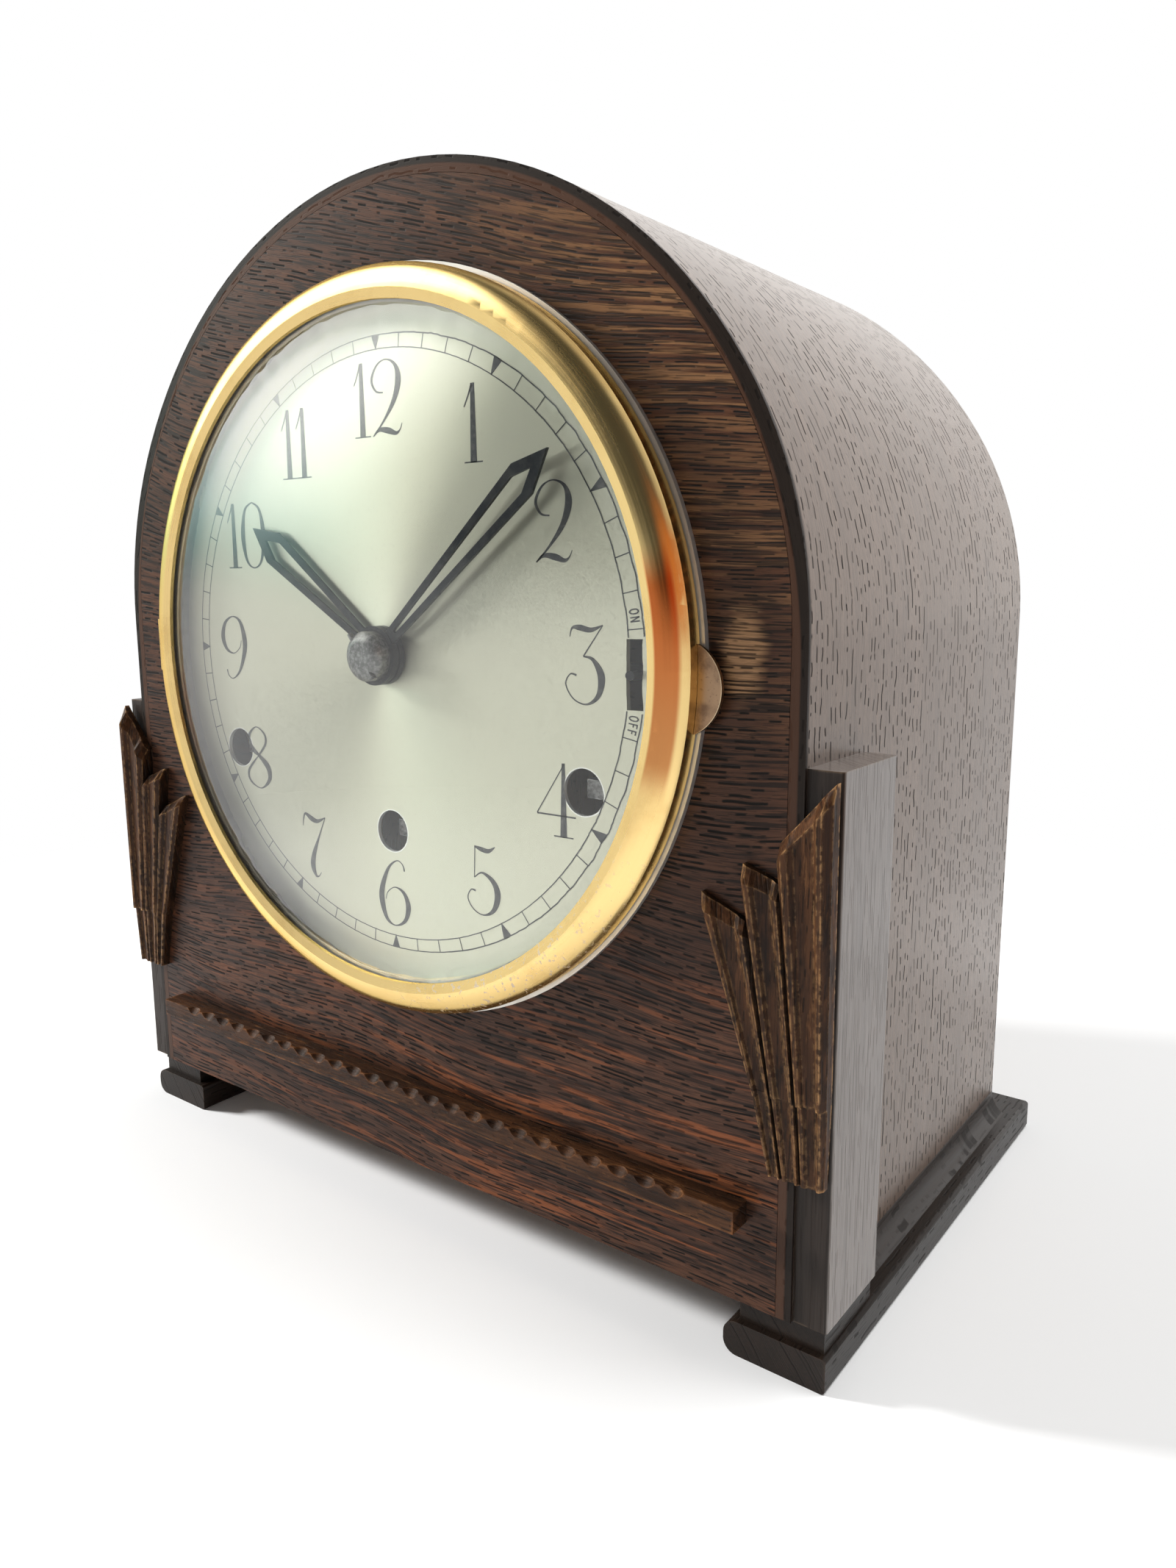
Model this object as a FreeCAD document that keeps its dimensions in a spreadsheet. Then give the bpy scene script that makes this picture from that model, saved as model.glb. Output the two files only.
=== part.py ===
# Chiming mantel clock of the 1930s: an arched oak case on two base rails, a hinged brass bezel with a domed
# glass, a silvered dial and a three-train pendulum movement with rod gongs. Millimetres, +Z up, +Y to the
# back, origin on the ground below the middle of the clock.
import FreeCAD
import Part
import Sketcher
import math
import os
from types import SimpleNamespace

SIZES = {
    # case
    "case_half_width": 115.0,
    "springing_height": 160.8,
    "haunch_radius": 100.0,
    "crown_drop": 9.2,
    "case_base": 14.8,
    "case_depth": 138.0,
    "wrap_thickness": 3.6,
    "glue_gap": 0.1,
    "board_thickness": 10.0,
    "opening_lap": 4.6,
    "bottom_thickness": 9.0,
    # base rails and pilasters
    "rail_width": 24.7,
    "rail_overhang": 7.6,
    "rail_height": 8.3,
    "rail_length": 149.5,
    "rail_setback": 1.5,
    "rail_nose": 3.4,
    "rail_ease": 1.0,
    "cove_width": 4.0,
    "neck_setback": 3.0,
    "pilaster_thickness": 7.9,
    "pilaster_depth": 26.5,
    "pilaster_setback": 1.0,
    "pilaster_top": 135.1,
    "pilaster_round": 0.8,
    # carved fans
    "fan_margin": 0.1,
    "fan_width": 30.2,
    "fan_toe_height": 48.5,
    "fan_step_height": 66.5,
    "fan_top_height": 133.2,
    "fan_relief": 5.0,
    "fan_bevel": 3.0,
    "fan_overlap": 0.4,
    "lower_tier_relief": 3.4,
    # carved strip below the dial
    "strip_half_length": 104.0,
    "strip_depth": 6.0,
    "strip_height": 5.1,
    "strip_base": 34.4,
    "strip_plain_end": 15.0,
    "chip_pitch": 7.4,
    "chip_radius": 4.0,
    "chip_depth": 1.3,
    # back frame and door
    "frame_width": 13.0,
    "frame_thickness": 8.0,
    "sill_height": 20.0,
    "door_gap": 1.0,
    "door_hinge_low": 62.0,
    "door_hinge_high": 140.0,
    "door_hinge_length": 24.0,
    "door_hinge_offset": 2.3,
    "door_knuckle_radius": 2.0,
    "door_pin_radius": 1.0,
    "door_leaf_width": 8.0,
    "leaf_thickness": 1.0,
    "knob_height": 110.0,
    "knob_inset": 12.0,
    "knob_radius": 6.0,
    "knob_length": 12.0,
    "knob_spigot_radius": 2.0,
    "knob_round": 4.5,
    # bezel, glass and their hinge
    "dial_height": 153.7,
    "seat_ring_margin": 1.0,
    "seat_ring_thickness": 1.4,
    "bezel_width": 8.5,
    "sight_lap": 0.1,
    "bezel_crest": 9.3,
    "bezel_metal": 1.0,
    "bezel_lift": 0.5,
    "bezel_lip": 2.4,
    "bezel_return": 0.6,
    "bezel_shoulder": 3.7,
    "bezel_sweep": 6.6,
    "glass_recess": 1.2,
    "glass_thickness": 2.0,
    "glass_rise": 7.4,
    "glass_overlap": 1.8,
    "retainer_thickness": 0.9,
    "retainer_lap": 0.8,
    "tab_radius": 10.2,
    "tab_reach": 5.6,
    "tab_drop": 3.8,
    "tab_thickness": 0.9,
    "bezel_hinge_length": 15.0,
    "bezel_knuckle_radius": 1.6,
    "bezel_pin_radius": 0.8,
    "bezel_leaf_width": 8.0,
    "hinge_clearance": 0.3,
    # dial and hands
    "dial_radius": 83.6,
    "dial_thickness": 1.0,
    "winding_hole_radius": 5.45,
    "side_winding_across": 0.7392,
    "side_winding_below": 0.3433,
    "time_winding_drop": 45.6,
    "dial_foot_reach": 43.8,
    "dial_foot_radius": 1.5,
    "minute_hand_margin": 11.1,
    "hour_hand_margin": 25.1,
    "minute_hand_angle": 50.3,
    "hour_hand_angle": 304.2,
    "hand_thickness": 0.8,
    "hand_neck_width": 3.4,
    "hand_rib": 2.0,
    "hand_point": 9.5,
    "hour_hand_width": 9.2,
    "minute_hand_width": 8.8,
    "hour_hand_front": 3.0,
    "minute_hand_front": 5.2,
    "hub_radius": 7.4,
    "hub_lift": 0.4,
    "nut_radius": 6.2,
    "nut_length": 4.6,
    "nut_crown": 2.6,
    "nut_cap": 1.9,
    "pin_radius": 0.7,
    "pin_length": 13.6,
    "pin_angle": 53.0,
    "arbor_tip": 2.0,
    "lever_pivot_reach": 36.0,
    "lever_slot_margin": 8.6,
    "lever_drop": 1.8,
    "lever_throw": 9.0,
    "lever_slot_half_width": 1.7,
    "lever_pin_radius": 1.0,
    "lever_pin_front": 1.6,
    "slot_room": 0.5,
    "lever_thickness": 1.5,
    "lever_eye_radius": 3.2,
    "lever_root_half_width": 2.4,
    # movement frame, depths behind the front face of the case
    "plate_half_width": 82.0,
    "plate_rise": 49.0,
    "plate_drop": 75.0,
    "plate_corner": 7.0,
    "plate_thickness": 2.0,
    "post_length": 4.0,
    "post_radius": 3.8,
    "post_reach": 77.0,
    "post_rise": 31.0,
    "post_drop": 57.0,
    "plate_spacing": 40.0,
    "pillar_radius": 4.0,
    "pillar_reach": 75.0,
    "pillar_rise": 42.0,
    "pillar_drop": 68.0,
    "spigot_radius": 2.0,
    "plate_nut_height": 2.6,
    "screw_head_height": 2.2,
    "stud_front": 5.0,
    "stud_step": 0.6,
    "click_stud_length": 4.4,
    "end_shake": 0.2,
    "running_fit": 0.05,
    "pivot_radius": 1.2,
    "arbor_radius": 1.5,
    # trains
    "great_teeth": 54,
    "great_module": 1.0,
    "intermediate_pinion_teeth": 9,
    "intermediate_teeth": 48,
    "intermediate_module": 0.75,
    "centre_pinion_teeth": 8,
    "centre_teeth": 48,
    "centre_module": 0.7,
    "third_pinion_teeth": 8,
    "third_teeth": 48,
    "third_module": 0.6,
    "escape_pinion_teeth": 8,
    "escape_teeth": 30,
    "escape_radius": 12.0,
    "anchor_rise": 17.0,
    "cannon_teeth": 14,
    "minute_teeth": 42,
    "cannon_module": 0.75,
    "minute_pinion_teeth": 12,
    "hour_teeth": 48,
    "wheel_thickness": 2.0,
    "pinion_overhang": 1.0,
    "wheel_hub_radius": 4.0,
    "third_hub_radius": 3.4,
    "escape_hub_radius": 2.8,
    "collar_radius": 3.4,
    "centre_wheel_lead": 8.0,
    "third_wheel_lead": 6.5,
    "escape_wheel_lead": 7.0,
    "intermediate_lag": 2.5,
    "escape_tooth_height": 2.4,
    "escape_rim": 1.6,
    "cannon_pipe_radius": 2.5,
    "hour_pipe_radius": 3.6,
    "motion_wheel_thickness": 1.5,
    "cannon_lead": 3.5,
    "hour_wheel_lead": 8.0,
    "drum_radius": 24.0,
    "drum_length": 24.5,
    "drum_clearance": 3.0,
    "drum_lip": 0.8,
    "drum_lip_width": 1.6,
    "winding_arbor_radius": 3.0,
    "winding_square": 4.4,
    "square_front": 3.5,
    "square_shoulder": 2.0,
    "winding_tail": 1.0,
    "ratchet_teeth": 12,
    "ratchet_radius": 9.5,
    "ratchet_root": 7.8,
    "ratchet_thickness": 2.4,
    "ratchet_clearance": 0.8,
    "click_clearance": 0.3,
    "click_reach": 14.0,
    "click_rise": 9.4,
    "click_hub_radius": 3.0,
    "click_thickness": 2.0,
    "click_bite": 0.65,
    "click_nose": 1.85,
    # pendulum
    "pendulum_depth": 70.0,
    "spring_thickness": 0.3,
    "spring_width": 6.0,
    "spring_length": 10.0,
    "cock_slot": 1.4,
    "rod_radius": 1.2,
    "bob_radius": 19.0,
    "bob_thickness": 9.0,
    "bob_drop": 66.0,
    "rating_nut_radius": 4.0,
    "pallet_clearance": 1.2,
    "anchor_arm": 3.0,
    "crutch_length": 36.0,
    "crutch_lead": 6.0,
    "crutch_thickness": 1.5,
    "crutch_half_width": 1.6,
    "fork_length": 8.5,
    "fork_height": 3.0,
    "fork_prong": 1.4,
    "fork_play": 0.15,
    "cock_low": 3.2,
    "cock_wall": 2.0,
    "cock_high": 8.6,
    "cock_half_width": 5.0,
    "cock_foot_half_width": 9.0,
    "spring_rise": 5.6,
    "hook_height": 5.0,
    "rating_nut_height": 3.4,
    "rod_tail": 6.0,
    # gongs and hammers
    "gong_count": 4,
    "gong_back_room": 16.0,
    "gong_pitch": 10.0,
    "gong_height": 44.0,
    "gong_radius": 1.6,
    "gong_length": 156.0,
    "gong_step": 9.0,
    "block_inner": 76.0,
    "block_width": 22.0,
    "block_rise": 32.0,
    "block_margin": 8.0,
    "block_step": 4.0,
    "block_step_height": 7.0,
    "hammer_pivot_reach": 58.0,
    "hammer_pivot_height": 66.0,
    "hammer_reach": 24.0,
    "hammer_head_radius": 4.0,
    "hammer_head_length": 12.0,
    "hammer_rest_gap": 0.7,
    "hammer_arbor_radius": 2.0,
    "hammer_hub_radius": 4.0,
    "hammer_hub_half": 2.6,
    "hammer_arm_thickness": 2.0,
    "hammer_arm_half_width": 1.6,
    "collar_step": 1.4,
    "bracket_half_width": 10.0,
    "bracket_overlap": 14.0,
    "bracket_drop": 6.0,
    "bracket_thickness": 2.0,
    "arbor_tail": 3.0,
}


class Size:
    """A dimension that carries its value and the spreadsheet formula behind it."""

    def __init__(self, value, formula):
        self.value = value
        self.formula = formula

    def __add__(self, other):
        other = as_size(other)
        return Size(self.value + other.value, f"({self.formula} + {other.formula})")

    def __sub__(self, other):
        other = as_size(other)
        return Size(self.value - other.value, f"({self.formula} - {other.formula})")

    def __mul__(self, other):
        other = as_size(other)
        return Size(self.value * other.value, f"({self.formula} * {other.formula})")

    def __truediv__(self, other):
        other = as_size(other)
        return Size(self.value / other.value, f"({self.formula} / {other.formula})")

    def __radd__(self, other):
        return as_size(other) + self

    def __rsub__(self, other):
        return as_size(other) - self

    def __rmul__(self, other):
        return as_size(other) * self

    def __neg__(self):
        return Size(-self.value, f"(-1 * {self.formula})")


def as_size(number):
    """A plain number becomes a constant formula."""
    if isinstance(number, Size):
        return number
    return Size(float(number), f"({float(number)})")


def root(size):
    return Size(math.sqrt(size.value), f"sqrt({size.formula})")


doc = FreeCAD.newDocument("mantel_clock")
sheet = doc.addObject("Spreadsheet::Sheet", "Sizes")
for row, (alias, number) in enumerate(SIZES.items(), 1):
    sheet.set(f"A{row}", alias)
    sheet.set(f"B{row}", str(number))
    sheet.setAlias(f"B{row}", alias)
doc.recompute()
clock = SimpleNamespace(**{alias: Size(float(number), f"Sizes.{alias}") for alias, number in SIZES.items()})

# The glass stands furthest to the front and the base rails furthest to the back, so the front face of the
# case lies where the whole clock is centred on the origin.
glass_seat = clock.bezel_crest - clock.bezel_metal - clock.glass_recess
glass_apex = glass_seat + clock.glass_rise
rail_back = clock.rail_setback + clock.rail_length
front_face = (glass_apex - rail_back) / 2

# The dial sets the round pieces on the front: sight of the bezel, bezel, seat ring, opening of the board
sight = clock.dial_radius - clock.sight_lap
bezel_rim = sight + clock.bezel_width
seat_rim = bezel_rim + clock.seat_ring_margin
dial_opening = clock.dial_radius - clock.opening_lap

FRONT = FreeCAD.Vector(0, 1, 0)
sub_parts = []


def keep(piece, label):
    """Names a finished sub-part and lists it for writing."""
    piece.Label = label
    sub_parts.append(piece)
    return piece


def place(piece, x=0, z=0):
    """Puts a piece, modelled with its depth behind the front face as Y, at a point of the case."""
    for axis, distance in (("x", x), ("y", front_face), ("z", z)):
        piece.setExpression(f"Placement.Base.{axis}", as_size(distance).formula)
    return piece


def arc_centre(start, end, radius, turn):
    """Centre of the short arc from start to end, on the left of the way for turn +1, on the right for -1."""
    chord = FreeCAD.Vector(end[0] - start[0], end[1] - start[1], 0)
    middle = FreeCAD.Vector((start[0] + end[0]) / 2, (start[1] + end[1]) / 2, 0)
    left = FreeCAD.Vector(-chord.y, chord.x, 0) * (1 / chord.Length)
    return middle + left * (turn * math.sqrt(max(radius ** 2 - chord.Length ** 2 / 4, 0)))


def draw_loop(sketch, corners):
    """Closed outline. A corner is (x, y), or (x, y, radius, turn) where an arc leads on to the next one."""
    first = sketch.GeometryCount
    spots = [(as_size(corner[0]), as_size(corner[1])) for corner in corners]
    edges = []
    ends = []
    for index, corner in enumerate(corners):
        start = (spots[index][0].value, spots[index][1].value)
        following = spots[(index + 1) % len(corners)]
        end = (following[0].value, following[1].value)
        if len(corner) == 2:
            edges.append(Part.LineSegment(FreeCAD.Vector(*start, 0), FreeCAD.Vector(*end, 0)))
            ends.append((1, 2))
            continue
        radius, turn = as_size(corner[2]).value, corner[3]
        centre = arc_centre(start, end, radius, turn)
        angles = [math.atan2(spot[1] - centre.y, spot[0] - centre.x) for spot in (start, end)]
        low, high = angles if turn > 0 else angles[::-1]
        if high < low:
            high += 2 * math.pi
        edges.append(Part.ArcOfCircle(Part.Circle(centre, FreeCAD.Vector(0, 0, 1), radius), low, high))
        ends.append((1, 2) if turn > 0 else (2, 1))
    sketch.addGeometry(edges, False)
    for index, corner in enumerate(corners):
        edge, after = first + index, first + (index + 1) % len(corners)
        start_end = ends[index][0]
        sketch.addConstraint(Sketcher.Constraint("Coincident", edge, ends[index][1],
                                                 after, ends[(index + 1) % len(corners)][0]))
        across, along = spots[index]
        for kind, axis_line, distance in (("DistanceX", -2, across), ("DistanceY", -1, along)):
            if distance.formula == "(0.0)":
                sketch.addConstraint(Sketcher.Constraint("PointOnObject", edge, start_end, axis_line))
                continue
            number = sketch.addConstraint(Sketcher.Constraint(kind, -1, 1, edge, start_end, distance.value))
            sketch.setExpression(f"Constraints[{number}]", distance.formula)
        if len(corner) > 2:
            radius = as_size(corner[2])
            number = sketch.addConstraint(Sketcher.Constraint("Radius", edge, radius.value))
            sketch.setExpression(f"Constraints[{number}]", radius.formula)


def draw_circle(sketch, x, y, radius):
    """Circle of a sketch with its centre and radius tied to the sheet."""
    x, y, radius = as_size(x), as_size(y), as_size(radius)
    edge = sketch.addGeometry(Part.Circle(FreeCAD.Vector(x.value, y.value, 0), FreeCAD.Vector(0, 0, 1),
                                          radius.value), False)
    for kind, axis_line, distance in (("DistanceX", -2, x), ("DistanceY", -1, y)):
        if distance.formula == "(0.0)":
            sketch.addConstraint(Sketcher.Constraint("PointOnObject", edge, 3, axis_line))
            continue
        number = sketch.addConstraint(Sketcher.Constraint(kind, -1, 1, edge, 3, distance.value))
        sketch.setExpression(f"Constraints[{number}]", distance.formula)
    number = sketch.addConstraint(Sketcher.Constraint("Radius", edge, radius.value))
    sketch.setExpression(f"Constraints[{number}]", radius.formula)


def new_sketch(body, plane, depth=None):
    """Sketch on an origin plane of a body. On XZ the depth is how far behind the front face it lies."""
    sketch = body.newObject("Sketcher::SketchObject", "Outline")
    support = next(part for part in body.Origin.OriginFeatures if part.Role == plane)
    sketch.AttachmentSupport = (support, [""])
    sketch.MapMode = "FlatFace"
    if depth is not None:
        sketch.setExpression("AttachmentOffset.Base.z", (-as_size(depth)).formula)
    return sketch


def pad_on(body, depth, thickness, loops=(), circles=()):
    """Adds a flat plate, drawn from the front, whose front lies at a depth behind the front face."""
    sketch = new_sketch(body, "XZ_Plane", depth)
    for loop in loops:
        draw_loop(sketch, loop)
    for circle in circles:
        draw_circle(sketch, *circle)
    feature = body.newObject("PartDesign::Pad", "Pad")
    feature.Profile = sketch
    feature.Reversed = True
    feature.setExpression("Length", as_size(thickness).formula)
    return feature


def plate(label, depth, thickness, loops=(), circles=(), x=0, z=0):
    """Flat piece cut from sheet or board."""
    body = doc.addObject("PartDesign::Body", label)
    pad_on(body, depth, thickness, loops, circles)
    place(body, x, z)
    return keep(body, label)


def turned(label, profile, x=0, z=0):
    """Lathe-turned piece about an axis along Y: profile corners are (radius, depth)."""
    body = doc.addObject("PartDesign::Body", label)
    sketch = new_sketch(body, "XY_Plane")
    draw_loop(sketch, profile)
    feature = body.newObject("PartDesign::Revolution", "Turned")
    feature.Profile = sketch
    feature.ReferenceAxis = (sketch, ["V_Axis"])
    feature.Angle = 360
    place(body, x, z)
    return keep(body, label)


def formed(label, shape, x=0, z=0):
    """Piece whose solids come from a formula, such as a wheel: modelled about its own axis, then placed."""
    piece = doc.addObject("Part::Feature", label)
    piece.Shape = shape
    piece.Placement = FreeCAD.Placement(
        FreeCAD.Vector(as_size(x).value, front_face.value, as_size(z).value), FreeCAD.Rotation())
    return keep(piece, label)


def bar(radius, start, length, x=0.0, z=0.0):
    """Round bar along Y from a depth."""
    return Part.makeCylinder(radius, length, FreeCAD.Vector(x, start, z), FRONT)


def slab(x, depth, z):
    """Block between two values on each axis."""
    corner = FreeCAD.Vector(min(x), min(depth), min(z))
    return Part.makeBox(max(x) - min(x), max(depth) - min(depth), max(z) - min(z), corner)


def prism(points, start, thickness):
    """Straight-sided piece with (x, z) corners, from a depth."""
    corners = [FreeCAD.Vector(x, start, z) for x, z in points]
    return Part.Face(Part.makePolygon(corners + corners[:1])).extrude(FreeCAD.Vector(0, thickness, 0))


# Arched case

def arch(inset, base):
    """Outline of the case drawn in by an inset: straight sides, two haunch arcs and a crown arc."""
    half = clock.case_half_width - inset
    haunch = clock.haunch_radius - inset
    centre_x = clock.case_half_width - clock.haunch_radius
    reach = root(centre_x * centre_x + clock.crown_drop * clock.crown_drop)
    crown = haunch + reach
    meet_x = crown * centre_x / reach
    meet_z = clock.springing_height - clock.crown_drop + crown * clock.crown_drop / reach
    return [(half, base), (half, clock.springing_height, haunch, 1), (meet_x, meet_z, crown, 1),
            (-meet_x, meet_z, haunch, 1), (-half, clock.springing_height), (-half, base)]


def reverse_arch(inset, base):
    """The same outline drawn the other way round."""
    right, spring_right, meet_right, meet_left, spring_left, left = arch(inset, base)
    haunch, crown = spring_right[2], meet_right[2]
    return [left, spring_left + (haunch, -1), meet_left[:2] + (crown, -1), meet_right[:2] + (haunch, -1),
            spring_right[:2], right]


case_back = clock.case_depth
inside = clock.wrap_thickness + clock.glue_gap
plate("case_wrap", 0, case_back,
      [arch(as_size(0), clock.case_base) + reverse_arch(clock.wrap_thickness, clock.case_base)])
plate("front_board", 0, clock.board_thickness, [arch(inside, clock.case_base)],
      [(0, clock.dial_height, dial_opening)])

floor_half = clock.case_half_width - inside
floor_top = clock.case_base + clock.bottom_thickness
floor_length = case_back - clock.board_thickness - clock.frame_thickness
plate("bottom_board", clock.board_thickness, floor_length,
      [[(-floor_half, clock.case_base), (floor_half, clock.case_base),
        (floor_half, floor_top), (-floor_half, floor_top)]])


# Base rails: a foot rounded on its left edges, with a cove that rises to the underside of the case and a
# plinth below the pilaster

def base_rail(label, side):
    outer = clock.case_half_width + clock.rail_overhang
    inner = outer - clock.rail_width
    left, right = (inner, outer) if side > 0 else (-outer, -inner)
    height, nose, ease = clock.rail_height, clock.rail_nose, clock.rail_ease
    foot = [(left + nose, 0), (right - ease, 0, ease, 1), (right, ease), (right, height - ease, ease, 1),
            (right - ease, height), (left + nose, height, nose, 1), (left, height - nose),
            (left, nose, nose, 1)]
    rise = clock.case_base - height
    cove_radius = (clock.cove_width * clock.cove_width + rise * rise) / (2 * clock.cove_width)
    foot_edge = clock.case_half_width + clock.cove_width
    neck_inner = inner + nose
    neck = [(neck_inner, height), (foot_edge, height, cove_radius, -1),
            (clock.case_half_width, clock.case_base), (neck_inner, clock.case_base)]
    plinth_edge = outer - (ease if side > 0 else nose)
    plinth = [(neck_inner, height), (plinth_edge, height), (plinth_edge, clock.case_base),
              (neck_inner, clock.case_base)]
    if side < 0:
        neck = mirrored(neck)
        plinth = mirrored(plinth)
    plinth_length = clock.pilaster_setback + clock.pilaster_depth - clock.neck_setback
    body = doc.addObject("PartDesign::Body", label)
    pad_on(body, clock.rail_setback, clock.rail_length, [foot])
    pad_on(body, clock.neck_setback, case_back - clock.neck_setback, [neck])
    pad_on(body, clock.neck_setback, plinth_length, [plinth])
    place(body)
    return keep(body, label)


def mirrored(corners):
    """An outline on the other side of the middle, with its arcs turned the other way."""
    other = []
    for corner in corners:
        flipped = (-as_size(corner[0]), corner[1])
        other.append(flipped + (corner[2], -corner[3]) if len(corner) > 2 else flipped)
    return other


def pilaster(label, side):
    inner = clock.case_half_width
    outer = inner + clock.pilaster_thickness
    edge = clock.pilaster_round
    front, back = clock.pilaster_setback, clock.pilaster_setback + clock.pilaster_depth
    body = doc.addObject("PartDesign::Body", label)
    sketch = new_sketch(body, "XY_Plane")
    outline = [(inner, front), (outer - edge, front, edge, 1), (outer, front + edge),
               (outer, back - edge, edge, 1), (outer - edge, back), (inner, back)]
    draw_loop(sketch, outline if side > 0 else mirrored(outline))
    feature = body.newObject("PartDesign::Pad", "Pad")
    feature.Profile = sketch
    feature.setExpression("Length", (clock.pilaster_top - clock.case_base).formula)
    place(body, 0, clock.case_base)
    return keep(body, label)


for name, side in (("left", -1), ("right", 1)):
    base_rail(f"base_rail_{name}", side)
    pilaster(f"pilaster_{name}", side)

# Carved fans: three grooved blades that spread upwards, over a lower tier of three short ones. Insets are
# shares of the fan's width from its outer edge, and heights are shares of its height above the toe.
# A blade top is its inner corner and its outer corner.
BLADE_TOPS = [((1.0, 0.691), (0.593, 0.629)), ((0.675, 0.78), (0.341, 0.737)),
              ((0.397, 0.842), (0.01, 1.0))]
STEP_INSETS = [0.563, 0.411, 0.219, 0.0]
TOE_INSETS = [0.424, 0.318, 0.179, 0.013]
# Across a blade: share of its width, and share of its relief, with a flute between two raised borders
BLADE_SECTION = [(0.0, 0.74), (0.1, 1.0), (0.22, 0.98), (0.3, 0.8), (0.66, 0.72), (0.76, 0.96),
                 (0.86, 0.98), (1.0, 0.6)]
# Relief of each blade, and of a blade at its foot and at the tip of its sloping top
BLADE_RELIEFS = [0.78, 0.89, 1.0]
FOOT_RELIEF, TOP_RELIEF, TOE_RELIEF = 0.85, 0.45, 0.8


def fan_solid():
    """Right-hand fan: each blade is a ruled loft through sections with a raised border and a flute."""
    edge = (clock.case_half_width + clock.pilaster_thickness - clock.fan_margin).value
    width, step, toe = clock.fan_width.value, clock.fan_step_height.value, clock.fan_toe_height.value
    height, overlap = clock.fan_top_height.value - toe, clock.fan_overlap.value

    def section(inner, outer, relief):
        low = FreeCAD.Vector(inner[0], 0, inner[1])
        high = FreeCAD.Vector(outer[0], 0, outer[1])
        crest = [low + (high - low) * along + FreeCAD.Vector(0, -relief * lift, 0)
                 for along, lift in BLADE_SECTION]
        return Part.makePolygon([low] + crest + [high, low])

    def between(start, end, share):
        return tuple(a + (b - a) * share for a, b in zip(start, end))

    solids = []
    for index, corners in enumerate(BLADE_TOPS):
        relief = clock.fan_relief.value * BLADE_RELIEFS[index]
        tops = [(edge - inset * width, toe + rise * height) for inset, rise in corners]
        tuck = overlap if index < len(BLADE_TOPS) - 1 else 0.0
        feet = [(edge - STEP_INSETS[index] * width, step),
                (edge - STEP_INSETS[index + 1] * width + tuck, step)]
        toes = [(edge - TOE_INSETS[index] * width, toe), (edge - TOE_INSETS[index + 1] * width, toe)]
        share = 1 - clock.fan_bevel.value / (tops[0][1] - step)
        shoulder = [between(feet[0], tops[0], share), between(feet[1], tops[1], share)]
        solids.append(Part.makeLoft([section(*feet, relief * FOOT_RELIEF), section(*shoulder, relief),
                                     section(*tops, relief * TOP_RELIEF)], True, True))
        lower = clock.lower_tier_relief.value
        tucked = [(x, z + overlap) for x, z in feet]
        short_blade = [section(*toes, lower * TOE_RELIEF), section(*tucked, lower)]
        solids.append(Part.makeLoft(short_blade, True, True))
    return solids[0].fuse(solids[1:])


right_fan = fan_solid()
formed("fan_right", right_fan)
formed("fan_left", right_fan.mirror(FreeCAD.Vector(), FreeCAD.Vector(1, 0, 0)))


# Carved strip: a square bead with thumbnail chips along its upper front edge and plain ends

def strip_solid():
    half, depth = clock.strip_half_length.value, clock.strip_depth.value
    base, top = clock.strip_base.value, (clock.strip_base + clock.strip_height).value
    bead = slab((-half, half), (-depth, 0), (base, top))
    run = half - clock.strip_plain_end.value
    count = int(2 * run / clock.chip_pitch.value) + 1
    outward = FreeCAD.Vector(0, -1, 1) / math.sqrt(2)
    radius = clock.chip_radius.value
    chips = []
    for index in range(count):
        along = (index - (count - 1) / 2) * clock.chip_pitch.value
        axis_point = FreeCAD.Vector(along, -depth, top) + outward * (radius - clock.chip_depth.value)
        across = FreeCAD.Vector(0, 1, 1) / math.sqrt(2)
        chips.append(Part.makeCylinder(radius, 4 * depth, axis_point - across * 2 * depth, across))
    return bead.cut(chips)


formed("front_moulding", strip_solid())

# Back frame and door
frame_inner = inside + clock.frame_width
sill_top = clock.case_base + clock.sill_height
frame_front = case_back - clock.frame_thickness
plate("back_frame", frame_front, clock.frame_thickness,
      [arch(inside, clock.case_base), arch(frame_inner, sill_top)])
knob_x = clock.case_half_width - frame_inner - clock.door_gap - clock.knob_inset
plate("back_door", frame_front, clock.frame_thickness,
      [arch(frame_inner + clock.door_gap, sill_top + clock.door_gap)],
      [(knob_x, clock.knob_height, clock.knob_spigot_radius + clock.running_fit)])
knob_end = case_back + clock.knob_length
rose, neck_radius = clock.knob_radius * 0.85, clock.knob_radius * 0.5
turned("door_knob", [(0, frame_front), (clock.knob_spigot_radius, frame_front),
                     (clock.knob_spigot_radius, case_back), (rose, case_back),
                     (rose, case_back + clock.knob_length / 8),
                     (neck_radius, case_back + clock.knob_length / 5),
                     (neck_radius, case_back + clock.knob_length * 0.4),
                     (clock.knob_radius, knob_end - clock.knob_length / 3, clock.knob_round, 1),
                     (clock.knob_radius * 0.4, knob_end), (0, knob_end)],
       knob_x, clock.knob_height)


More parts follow.
